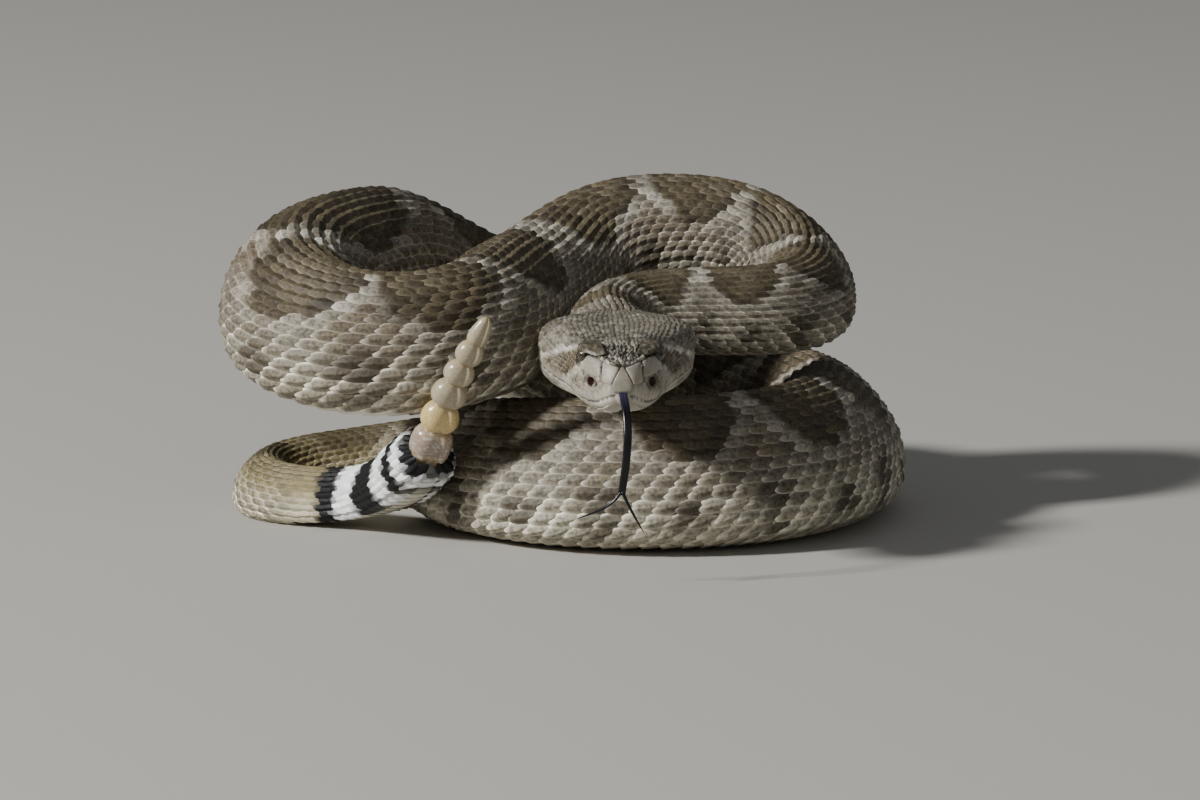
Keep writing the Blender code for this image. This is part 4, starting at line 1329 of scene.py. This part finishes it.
def make_head_plates():
    """The larger plates: snout, lips, brows, chin, and the rings round the eyes and pits."""
    _, plate, shield, _ = head_leaves()
    coat = HeadCoat("plates_head", 22)
    coat.panel(SNOUT_SHIELD, np.ones(3), 0.34, 0.5, 0.4)
    coat.add(shield, (0.0, 0.2, -2.3), (0.0, 0.3, -1.0), 1.7, 2.0, 0.1, 0.8, seam_shade=0.5)
    for side in (-1.0, 1.0):
        mirror = np.array([side, 1.0, 1.0])
        for middle, along, half_length, half_width, freckled in PLATES.values():
            coat.add(plate, np.array(middle) * mirror, np.array(along) * mirror, half_length,
                     half_width, 0.1, 1.1, seam_shade=0.5, freckled=freckled)
        coat.panel(FRONT_NASAL, mirror, 0.28, 0.5, 0.4)
        coat.panel(REAR_NASAL, mirror, 0.34, 0.5, 0.4)
        coat.panel(BROW_PLATE, mirror, 0.5, 0.45, 0.95)
        for offset, high in ((UPPER_LIP_HEIGHT / 2.0, UPPER_LIP_HEIGHT),
                             (-LOWER_LIP_HEIGHT / 2.0, LOWER_LIP_HEIGHT)):
            path = lip_path(side, offset)
            lengths = lengths_along(path)
            edges = lengths[-1] * np.linspace(0.0, 1.0, LIP_PLATES + 1) ** 1.12
            for low, far in zip(edges, edges[1:]):
                places = [np.array([np.interp(spot, lengths, path[:, axis]) for axis in range(3)])
                          for spot in (low, (low + far) / 2.0, far)]
                coat.add(plate, places[1], places[2] - places[0], 0.52 * (far - low),
                         0.46 * high, 0.06, 0.3, seam_shade=0.16)
        for degrees in np.arange(-205.0, 30.0, 26.0):       # round the eye, below the brow
            angle = math.radians(degrees)
            middle = np.array([11.5, EYE[1] + EYE_RING * math.cos(angle),
                               EYE[2] + EYE_RING * math.sin(angle)])
            point = head_form().shoot(middle * mirror + np.array([30.0 * side, 0.0, 0.0]),
                                      (-side, 0.0, 0.0))
            around = np.array([0.0, -math.sin(angle), math.cos(angle)])
            coat.add(plate, point, around, 0.84, 0.7, 0.06, 1.0, seam_shade=0.45, freckled=0.5)
        for degrees in np.arange(0.0, 360.0, 45.0):         # round the pit
            angle = math.radians(degrees)
            across = (PIT[0] + PIT_RING * math.cos(angle)) * side
            point = head_form().face(across, PIT[1] + PIT_RING * math.sin(angle))
            around = np.array([-math.sin(angle) * side, 0.0, math.cos(angle)])
            coat.add(plate, point, around, 0.86, 0.7, 0.06, 0.5, seam_shade=0.2, freckled=0.3)
    return coat.finish()


# ---- pits and nostrils --------------------------------------------------------------------------

# A pit's section from its rim inwards: radius, and how far sunk, for the pit's own.
BOWL_PROFILE = [(1.18, 0.25), (1.1, -0.02), (1.0, -0.06), (0.9, 0.1), (0.78, 0.35), (0.6, 0.68),
                (0.35, 0.9), (0.12, 1.0)]
BOWL_SIDES = 20


def bowl(middle, aim, radius, depth, stretch):
    """A small cup with a rolled rim, sunk along its aim."""
    aim = unit(np.array(aim, float))
    upright = unit(np.array([0.0, 0.0, 1.0]) - aim * aim[2])
    across = np.cross(upright, aim)
    points = []
    for size, sunk in BOWL_PROFILE:
        for step in range(BOWL_SIDES):
            angle = math.tau * step / BOWL_SIDES
            points.append(middle + aim * (sunk * depth)
                          + across * (math.cos(angle) * size * radius)
                          + upright * (math.sin(angle) * size * radius * stretch))
    points.append(middle + aim * depth)
    quads, _ = tube_faces(len(BOWL_PROFILE), BOWL_SIDES)
    last = (len(BOWL_PROFILE) - 1) * BOWL_SIDES
    fans = np.array([(last + step, last + (step + 1) % BOWL_SIDES, len(points) - 1)
                     for step in range(BOWL_SIDES)])
    return np.array(points), quads, fans


def make_pit_linings():
    """The lining of the two heat pits and of the nostrils, dark deeper in as painted shade."""
    all_points, all_quads, all_fans, tint = [], [], [], []
    shift = 0
    for side in (-1.0, 1.0):
        for (across, up), radius, depth, stretch in ((PIT, PIT_RADIUS, 1.4, 1.0),
                                                     (NOSTRIL, 0.5, 0.8, 1.9)):
            reach = radius * 1.3
            above, outer, inner = (head_form().face(*place)[1] for place in (
                (across * side, up + reach * stretch), ((across + reach) * side, up),
                ((across - reach) * side, up)))
            level = (outer + inner + above) / 3.0
            lean = math.atan2(outer - inner, 2.0 * reach) * 0.8
            middle = np.array([across * side, level - 0.1, up])
            aim = (-math.sin(lean) * side, math.cos(lean), 0.0)
            points, quads, fans = bowl(middle, aim, radius, depth, stretch)
            if side < 0.0:
                quads, fans = quads[:, ::-1], fans[:, ::-1]
            all_points.append(to_model(points))
            all_quads.append(quads + shift)
            all_fans.append(fans + shift)
            # Painted shade: the lining goes from the head's pigment, dimmed, to the dark pit colour
            # deeper in; the pit colour's red is the membrane's own.
            deep = smooth(points[:, 1], level - 0.1, level + 0.45)
            tint.append(blend(head_pigment(points) * 0.7, colour("pit"), deep))
            shift += len(points)
    return build_mesh("pit_linings", np.concatenate(all_points), np.concatenate(all_quads),
                      np.concatenate(all_fans), np.concatenate(tint), closed=False)


# ---- eyes ---------------------------------------------------------------------------------------

EYE_AIM = np.array([0.96, -0.27, 0.08])
EYE_SIDES, EYE_RINGS = 96, 48
PUPIL = (0.15, 0.82)        # half the slit's width and height, for the eye's radius


def make_eye(name, side):
    """An eye under its clear scale: an upright slit in a freckled iris."""
    aim = unit(HEAD_TURN @ (EYE_AIM * np.array([side, 1.0, 1.0])))
    up = unit(np.array([0.0, 0.0, 1.0]) - aim * aim[2])
    across = np.cross(up, aim)
    polar = np.linspace(0.0, math.pi, EYE_RINGS + 1)[1:-1]
    round_angle = math.tau * np.arange(EYE_SIDES) / EYE_SIDES
    out = np.cos(polar)[:, None] * np.ones(EYE_SIDES)
    flat = np.sin(polar)[:, None] * np.cos(round_angle)
    tall = np.sin(polar)[:, None] * np.sin(round_angle)
    local = np.stack([flat, tall, out], axis=-1).reshape(-1, 3)
    local = np.vstack([local, [0.0, 0.0, 1.0], [0.0, 0.0, -1.0]])
    centre = to_model(EYE * np.array([side, 1.0, 1.0]))
    points = centre + EYE_RADIUS * (local @ np.stack([across, up, aim]))
    quads, fans = tube_faces(EYE_RINGS - 1, EYE_SIDES, inward=True)
    off = np.hypot(local[:, 0] / PUPIL[0], local[:, 1] / PUPIL[1])
    away = np.hypot(local[:, 0], local[:, 1])
    freckle = clouds(local * 10.0, 1.2, 3)
    iris = blend(np.broadcast_to(colour("iris"), points.shape), colour("crown_speckle"),
                 smooth(freckle, 0.45, 0.75) * 0.7)
    iris = blend(iris, colour("crown_speckle"), smooth(np.abs(local[:, 0]), 0.35, 0.8) * 0.5)
    iris = blend(iris, colour("pupil"), smooth(away, 0.82, 0.95))
    tint = blend(iris, colour("pupil"), 1.0 - smooth(off, 0.85, 1.1))
    return build_mesh(name, points, quads, fans, tint)


# ---- tongue -------------------------------------------------------------------------------------

TONGUE_ROUTE = [(15.9, -49.6, 48.3), (16.2, -52.5, 47.6), (16.9, -56.5, 44.3), (17.2, -59.0, 39.0),
                (16.8, -59.6, 32.5), (16.1, -59.4, 27.5), (15.6, -59.0, 24.0)]
TONGUE_TIPS = [[(15.5, -59.0, 24.8), (13.8, -59.0, 22.3), (10.2, -58.8, 20.0), (4.3, -58.5, 17.8)],
               [(15.8, -59.0, 24.8), (17.2, -59.0, 21.6), (19.2, -58.8, 17.8), (21.4, -58.5, 14.0)]]
TONGUE_SIDES = 20


def ribbon(route, widths, thicknesses, flat_side, groove):
    """Rings of a flat round-edged strip along a route, its width towards one side."""
    line = eased_line(evenly_spaced(np.array(route), 1.0)[0], 4)
    line = evenly_spaced(line, 0.5)[0]
    along = unit(np.gradient(line, axis=0))
    across = unit(flat_side - along * (along @ flat_side)[:, None])
    depth = np.cross(across, along)
    part = np.linspace(0.0, 1.0, len(line))
    angle = math.tau * np.arange(TONGUE_SIDES) / TONGUE_SIDES
    half_width = (read(widths, part) / 2.0)[:, None, None]
    half_depth = (read(thicknesses, part) / 2.0)[:, None, None]
    hollow = 1.0 - groove * np.exp(-(np.cos(angle) / 0.3) ** 2)
    return (line[:, None, :] + across[:, None, :] * half_width * np.cos(angle)[None, :, None]
            + depth[:, None, :] * half_depth * (np.sin(angle) * hollow)[None, :, None])


def make_tongue():
    """The forked tongue, with a shallow groove down its stem and tips that taper to hairs."""
    strips = [ribbon(TONGUE_ROUTE, [(0.0, 2.2), (0.5, 2.1), (0.85, 2.0), (1.0, 1.9)],
                     [(0.0, 1.3), (0.6, 1.15), (1.0, 0.95)], np.array([1.0, 0.0, 0.0]), 0.4)]
    for route in TONGUE_TIPS:
        strips.append(ribbon(route, [(0.0, 1.15), (0.5, 0.8), (0.85, 0.45), (1.0, 0.12)],
                             [(0.0, 0.95), (0.5, 0.7), (0.85, 0.4), (1.0, 0.12)],
                             np.array([0.0, 1.0, 0.0]), 0.1))
    points, quads, fans = [], [], []
    for rings in strips:
        faces = tube_faces(len(rings), TONGUE_SIDES, sum(len(part) for part in points))
        quads.append(faces[0])
        fans.append(faces[1])
        points.append(with_ends(rings))
    points = np.concatenate(points)
    root = 1.0 - smooth(-points[:, 1], 50.0, 57.0)
    tint = blend(np.broadcast_to(colour("tongue"), points.shape), colour("tongue_root"), root)
    return build_mesh("tongue_flesh", points, np.concatenate(quads), np.concatenate(fans), tint)


# ---- rattle -------------------------------------------------------------------------------------

RATTLE_ROUTE = [(-32.9, -8.6, 29.3), (-30.7, -12.9, 36.2), (-28.3, -16.6, 43.3),
                (-25.6, -19.4, 48.6), (-22.9, -21.6, 54.0), (-20.2, -23.0, 59.6)]
RATTLE_WIDTHS = [10.8, 10.0, 9.3, 8.0, 7.2, 5.4]
RATTLE_PROFILE = [(-0.16, 0.4), (-0.02, 0.6), (0.1, 0.84), (0.24, 0.97), (0.4, 1.02), (0.6, 0.98),
                  (0.78, 0.86), (0.92, 0.66), (1.0, 0.5), (1.06, 0.32)]
RATTLE_TIP_PROFILE = [(-0.2, 0.5), (-0.04, 0.86), (0.1, 1.0), (0.28, 1.02), (0.46, 0.94),
                      (0.62, 0.82), (0.78, 0.68), (0.9, 0.54), (0.97, 0.36), (1.01, 0.1)]
# The two lobes of a segment's section: middle to the side, half-width, half-depth, for its width.
RATTLE_LOBES = [(0.12, 0.38, 0.37), (-0.3, 0.2, 0.26)]
RATTLE_BASE_PROFILE = [(-0.5, 0.6), (-0.34, 0.82), (-0.14, 0.95), (0.1, 1.0), (0.4, 1.02),
                       (0.62, 0.98), (0.8, 0.88), (0.93, 0.7), (1.0, 0.5), (1.06, 0.32)]
RATTLE_ROOT = 1.0           # where the newest segment starts past the tail's end
RATTLE_TIP_REACH = 1.35     # the oldest segment's tip, past its middle, for its nearer half
RATTLE_SIDES, RATTLE_RINGS = 56, 40
RATTLE_TINTS = ["rattle_base", "rattle_amber", "rattle_pearl", "rattle_pearl", "rattle_pearl",
                "rattle_pearl"]


def make_rattle():
    """The loose horny segments, each with two unequal lobes and a groove between them."""
    ends, along, _, _ = body_frame(np.array([body_line()[1]]))
    middles = np.array(RATTLE_ROUTE)
    joints = [ends[0] + along[0] * RATTLE_ROOT]
    joints += [(before + after) / 2.0 for before, after in zip(middles, middles[1:])]
    joints.append(middles[-1] + (middles[-1] - joints[-1]) * RATTLE_TIP_REACH)
    made = []
    angle = math.tau * np.arange(RATTLE_SIDES) / RATTLE_SIDES
    for number, width in enumerate(RATTLE_WIDTHS):
        low, high = joints[number], joints[number + 1]
        axis = unit(high - low)
        across = unit(np.cross(axis, np.array([0.0, 1.0, 0.0])))
        depth = np.cross(across, axis)
        profile = {0: RATTLE_BASE_PROFILE, 5: RATTLE_TIP_PROFILE}.get(number, RATTLE_PROFILE)
        parts = np.linspace(profile[0][0], profile[-1][0], RATTLE_RINGS)
        size = read(profile, parts)
        size = np.convolve(np.pad(size, 2, mode="edge"), [0.1, 0.22, 0.36, 0.22, 0.1], "valid")
        beside = 0.5 * np.cos(angle)
        reaches = [half_depth * np.sqrt(np.clip(1.0 - ((beside - middle) / half_width) ** 2,
                                                0.0, 1.0))
                   for middle, half_width, half_depth in RATTLE_LOBES]
        reach = (sum(value ** 6 for value in reaches)) ** (1.0 / 6.0)
        forward = np.sign(np.sin(angle)) * reach
        rings = (low + axis * ((high - low) @ axis * parts)[:, None])[:, None, :]
        rings = rings + across * (width * size[:, None] * beside)[..., None]
        rings = rings + depth * (width * size[:, None] * forward)[..., None]
        quads, fans = tube_faces(len(parts), RATTLE_SIDES, inward=True)
        points = with_ends(rings)
        tint = np.broadcast_to(colour(RATTLE_TINTS[number]), points.shape)
        spots = np.r_[np.repeat(parts, RATTLE_SIDES), parts[0], parts[-1]]
        neighbour = colour(RATTLE_TINTS[min(number + 1, 5)])
        tint = blend(tint, neighbour, smooth(spots, 0.6, 1.1) * 0.4)
        tint = blend(tint, colour("rattle_amber") * 0.6, (1.0 - smooth(spots, -0.05, 0.16)) * 0.7)
        tint = blend(tint, colour("rattle_amber") * 0.7, smooth(spots, 0.86, 1.02) * 0.6)
        streak = clouds(points * np.array([1.0, 1.0, 0.4]), 1.1, number)
        tint = tint * (0.88 + 0.24 * streak)[:, None]
        if number == 0:
            fleck = smooth(clouds(points, 0.7, 9), 0.62, 0.75)
            tint = blend(tint, colour("tail_white"), fleck * 0.45)
        made.append(build_mesh(f"rattle_shell_{number + 1}", points, quads, fans,
                               np.clip(tint, 0.0, 1.0)))
    return made


# ---- materials ----------------------------------------------------------------------------------

def put(tree, kind, sockets=None, **settings):
    """Add one node with its settings, its sockets' values and the sockets they are fed from."""
    made = tree.nodes.new(kind)
    for name, value in settings.items():
        setattr(made, name, value)
    for name, value in (sockets or {}).items():
        if isinstance(value, bpy.types.NodeSocket):
            tree.links.new(value, made.inputs[name])
        else:
            made.inputs[name].default_value = value
    return made


def grains(millimetres):
    """The scale of a noise whose grains are this wide, over coordinates in metres."""
    return 1.0 / (millimetres * MM)


def pigmented(name, grain, grain_share, bump_size, bump_height, rough, spread, freckle=0.7,
              **shader):
    """A finish that shows the pigment laid into the mesh, with fine grain, relief and gloss.

    Grain, bump size, bump height and freckle are in millimetres.
    """
    material = bpy.data.materials.new(name)
    material.use_nodes = True
    tree = material.node_tree
    surface = tree.nodes["Principled BSDF"]
    pigment = put(tree, "ShaderNodeAttribute", attribute_name="pigment")
    place = put(tree, "ShaderNodeTexCoord")
    noise = put(tree, "ShaderNodeTexNoise", {"Vector": place.outputs["Object"],
                                             "Scale": grains(grain), "Detail": 3.0})
    shade = put(tree, "ShaderNodeMapRange", {"Value": noise.outputs["Fac"], "From Min": 0.3,
                                             "From Max": 0.7, "To Min": 1.0 - grain_share,
                                             "To Max": 1.0 + grain_share})
    fleck = put(tree, "ShaderNodeTexNoise", {"Vector": place.outputs["Object"],
                                             "Scale": grains(freckle), "Detail": 2.0})
    dark = put(tree, "ShaderNodeMapRange", {"Value": fleck.outputs["Fac"], "From Min": 0.46,
                                            "From Max": 0.6, "To Min": 0.0, "To Max": 0.5})
    spotted = put(tree, "ShaderNodeMath", {0: dark.outputs["Result"],
                                           1: pigment.outputs["Alpha"]}, operation="MULTIPLY")
    left = put(tree, "ShaderNodeMath", {0: shade.outputs["Result"],
                                        1: spotted.outputs["Value"]}, operation="SUBTRACT")
    tinted = put(tree, "ShaderNodeVectorMath", {0: pigment.outputs["Color"],
                                                "Scale": left.outputs["Value"]},
                 operation="SCALE")
    tree.links.new(tinted.outputs["Vector"], surface.inputs["Base Color"])
    gloss = put(tree, "ShaderNodeMapRange", {"Value": noise.outputs["Fac"], "From Min": 0.3,
                                             "From Max": 0.7, "To Min": rough - spread,
                                             "To Max": rough + spread})
    tree.links.new(gloss.outputs["Result"], surface.inputs["Roughness"])
    relief = put(tree, "ShaderNodeTexNoise", {"Vector": place.outputs["Object"],
                                              "Scale": grains(bump_size), "Detail": 2.0})
    dents = put(tree, "ShaderNodeBump", {"Height": relief.outputs["Fac"], "Strength": 0.6,
                                         "Distance": bump_height * MM})
    tree.links.new(dents.outputs["Normal"], surface.inputs["Normal"])
    for socket, value in shader.items():
        surface.inputs[socket.replace("_", " ")].default_value = value
    return material


@functools.lru_cache
def finishes():
    """Every finish of the animal, by the name of what it is."""
    return {
        # Beta-keratin of keeled scales: dry and matt; the faint light along the keels is a painted
        # highlight in their pigment.
        "keratin_scale": pigmented("keratin_scale", 0.5, 0.2, 0.3, 0.05, 0.62, 0.08, 1.0,
                                   IOR=1.5, Specular_IOR_Level=0.3),
        # The thin skin between the scales: duller than they are; its pigment is darkened as painted
        # shade in the gaps.
        "skin_between_scales": pigmented("skin_between_scales", 0.4, 0.12, 0.25, 0.06, 0.7, 0.06,
                                         IOR=1.45, Specular_IOR_Level=0.35),
        # Smooth keratin of belly plates: cleaner and a little polished by the ground.
        "keratin_belly": pigmented("keratin_belly", 0.9, 0.06, 0.5, 0.03, 0.42, 0.06,
                                   IOR=1.54, Specular_IOR_Level=0.5),
        # Head keratin: fine granular scales and plates with a soft waxy light.
        "keratin_head": pigmented("keratin_head", 0.35, 0.14, 0.22, 0.04, 0.48, 0.07,
                                  IOR=1.54, Specular_IOR_Level=0.45),
        # Moist membrane inside the pits and nostrils: red and slightly wet, and dark deeper in as
        # painted shade.
        "pit_membrane": pigmented("pit_membrane", 0.3, 0.1, 0.2, 0.03, 0.4, 0.05, IOR=1.4),
        # The clear scale over the eye: wet-looking gloss over a freckled iris.
        "eye_spectacle": pigmented("eye_spectacle", 0.3, 0.1, 0.4, 0.0, 0.12, 0.02, IOR=1.38,
                                   Coat_Weight=1.0, Coat_Roughness=0.03),
        # Moist tongue: almost black, with sharp lights along its edges.
        "tongue_flesh": pigmented("tongue_flesh", 0.5, 0.1, 0.4, 0.03, 0.28, 0.05, IOR=1.4,
                                  Specular_IOR_Level=0.6),
        # Dry hollow horn of the rattle: polished, honey to pearl, letting a little light in.
        "rattle_horn": pigmented("rattle_horn", 0.6, 0.1, 0.35, 0.03, 0.27, 0.05, IOR=1.55,
                                 Subsurface_Weight=0.35, Subsurface_Scale=0.0015,
                                 Subsurface_Radius=(1.0, 0.7, 0.4), Coat_Weight=0.35,
                                 Coat_Roughness=0.15),
    }


# ---- the stage ----------------------------------------------------------------------------------

VIEW_TARGET = np.array([9.37, -54.26, 41.6])
VIEW_HEIGHT = math.radians(9.5)
VIEW_DISTANCE = 2000.0
SENSOR_WIDTH = 36.0
FRAME_WIDTH = 306.0     # width of what the camera takes in, at the target
FLOOR_HALF = 8.0        # in metres, as the lamps' places and widths are
ROOM_LIGHT = (0.80, 0.84, 0.9, 1.0)
ROOM_STRENGTH = 0.17
LAMPS = [
    # name, place, how wide, power in watts
    ("key", (-2.5, -1.2, 1.66), 0.34, 172.0),
    ("fill", (0.9, -1.7, 0.9), 1.6, 3.2),
    ("top", (0.2, 0.6, 1.8), 1.4, 0.9),
]


def make_stage():
    """Floor, lamps and camera."""
    scene = bpy.context.scene
    paper = bpy.data.materials.new("studio_paper")
    paper.use_nodes = True
    surface = paper.node_tree.nodes["Principled BSDF"]
    surface.inputs["Base Color"].default_value = (*colour("paper"), 1.0)
    surface.inputs["Roughness"].default_value = 0.9
    surface.inputs["Specular IOR Level"].default_value = 0.2
    mesh = bpy.data.meshes.new("floor")
    mesh.from_pydata([(across * FLOOR_HALF, ahead * FLOOR_HALF, 0.0)
                      for across, ahead in ((-1, -1), (1, -1), (1, 1), (-1, 1))],
                     [], [(0, 1, 2, 3)])
    mesh.materials.append(paper)
    floor = bpy.data.objects.new("floor", mesh)
    scene.collection.objects.link(floor)
    target = Vector(VIEW_TARGET * MM)
    for name, place, width, power in LAMPS:
        lamp = bpy.data.lights.new(name, "AREA")
        lamp.energy = power
        lamp.size = width
        item = bpy.data.objects.new(name, lamp)
        item.location = place
        item.rotation_euler = (target - Vector(place)).to_track_quat("-Z", "Y").to_euler()
        scene.collection.objects.link(item)
    world = bpy.data.worlds.new("studio")
    world.use_nodes = True
    backdrop = world.node_tree.nodes["Background"]
    backdrop.inputs["Color"].default_value = ROOM_LIGHT
    backdrop.inputs["Strength"].default_value = ROOM_STRENGTH
    scene.world = world
    lens = bpy.data.cameras.new("camera")
    lens.sensor_width = SENSOR_WIDTH
    lens.lens = SENSOR_WIDTH / FRAME_WIDTH * VIEW_DISTANCE
    lens.clip_end = 50.0
    camera = bpy.data.objects.new("camera", lens)
    forward = Vector((0.0, math.cos(VIEW_HEIGHT), -math.sin(VIEW_HEIGHT)))
    camera.location = target - forward * (VIEW_DISTANCE * MM)
    camera.rotation_euler = (math.pi / 2.0 - VIEW_HEIGHT, 0.0, 0.0)
    scene.collection.objects.link(camera)
    scene.camera = camera


# ---- operators ----------------------------------------------------------------------------------

class SNAKE_OT_skin(bpy.types.Operator):
    """Lay one skin over all the lengths of flesh"""

    bl_idname = "snake.skin"
    bl_label = "Skin"

    def execute(self, context):
        item = finish_piece(make_skin(), finishes()["skin_between_scales"])
        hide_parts(*FLESH)
        return {"FINISHED"}


class SNAKE_OT_back_scales(bpy.types.Operator):
    """Lay keeled scales over the back, flanks and tail"""

    bl_idname = "snake.back_scales"
    bl_label = "Keeled scales"

    SPANS = [("scales_neck", -4.0, 130.0), ("scales_forebody", 130.0, 300.0),
             ("scales_rear_coil", 300.0, 470.0), ("scales_ground_coil", 470.0, 640.0),
             ("scales_tail", 640.0, 830.0)]

    def execute(self, context):
        for number, (name, start, end) in enumerate(self.SPANS):
            finish_piece(scale_coat(name, start, end, 40 + number),
                         finishes()["keratin_scale"])
        return {"FINISHED"}


class SNAKE_OT_belly_plates(bpy.types.Operator):
    """Lay the wide plates under the belly and tail"""

    bl_idname = "snake.belly_plates"
    bl_label = "Belly plates"

    def execute(self, context):
        finish_piece(make_belly_plates(), finishes()["keratin_belly"])
        return {"FINISHED"}


class SNAKE_OT_head_coat(bpy.types.Operator):
    """Lay the small scales, the plates and the linings of the head"""

    bl_idname = "snake.head_coat"
    bl_label = "Head scales"

    def execute(self, context):
        finish_piece(make_head_scales(), finishes()["keratin_head"])
        finish_piece(make_head_plates(), finishes()["keratin_head"])
        finish_piece(make_pit_linings(), finishes()["pit_membrane"])
        return {"FINISHED"}


class SNAKE_OT_eyes(bpy.types.Operator):
    """Set both eyes"""

    bl_idname = "snake.eyes"
    bl_label = "Eyes"

    def execute(self, context):
        for name, side in (("left", 1.0), ("right", -1.0)):
            item = make_eye("eyeball_" + name, side)
            finish_piece(item, finishes()["eye_spectacle"])
            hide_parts("eye_" + name)
        return {"FINISHED"}


class SNAKE_OT_tongue(bpy.types.Operator):
    """Hang the forked tongue from the mouth"""

    bl_idname = "snake.tongue"
    bl_label = "Tongue"

    def execute(self, context):
        item = finish_piece(make_tongue(), finishes()["tongue_flesh"])
        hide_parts("tongue")
        return {"FINISHED"}


class SNAKE_OT_rattle(bpy.types.Operator):
    """Stack the segments of the rattle"""

    bl_idname = "snake.rattle"
    bl_label = "Rattle"

    def execute(self, context):
        for number, item in enumerate(make_rattle()):
            finish_piece(item, finishes()["rattle_horn"])
            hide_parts(f"rattle_{number + 1}")
        return {"FINISHED"}


class SNAKE_OT_stage(bpy.types.Operator):
    """Set the floor, the lamps and the camera"""

    bl_idname = "snake.stage"
    bl_label = "Stage"

    def execute(self, context):
        make_stage()
        return {"FINISHED"}


OPERATORS = [SNAKE_OT_skin, SNAKE_OT_back_scales, SNAKE_OT_belly_plates, SNAKE_OT_head_coat,
             SNAKE_OT_eyes, SNAKE_OT_tongue, SNAKE_OT_rattle, SNAKE_OT_stage]


class SNAKE_PT_panel(bpy.types.Panel):
    """Lists the pieces, their sizes and their colours"""

    bl_label = "Coiled rattlesnake"
    bl_idname = "SNAKE_PT_panel"
    bl_space_type = "VIEW_3D"
    bl_region_type = "UI"
    bl_category = "Snake"

    def draw(self, context):
        for group in (context.scene.snake_sizes, context.scene.snake_colours):
            for name in group.__annotations__:
                self.layout.prop(group, name)
        for operator in OPERATORS:
            self.layout.operator(operator.bl_idname)


CLASSES = [SnakeSizes, SnakeColours, *OPERATORS, SNAKE_PT_panel]


def register():
    """Make the classes and the settings known."""
    for item in CLASSES:
        bpy.utils.register_class(item)
    bpy.types.Scene.snake_sizes = PointerProperty(type=SnakeSizes)
    bpy.types.Scene.snake_colours = PointerProperty(type=SnakeColours)


def unregister():
    """Take them away again."""
    del bpy.types.Scene.snake_colours
    del bpy.types.Scene.snake_sizes
    for item in reversed(CLASSES):
        bpy.utils.unregister_class(item)


def main():
    """Build every piece."""
    register()
    for operator in OPERATORS:
        piece = operator.bl_idname.split(".")[1]
        getattr(bpy.ops.snake, piece)()


if __name__ == "__main__":
    main()
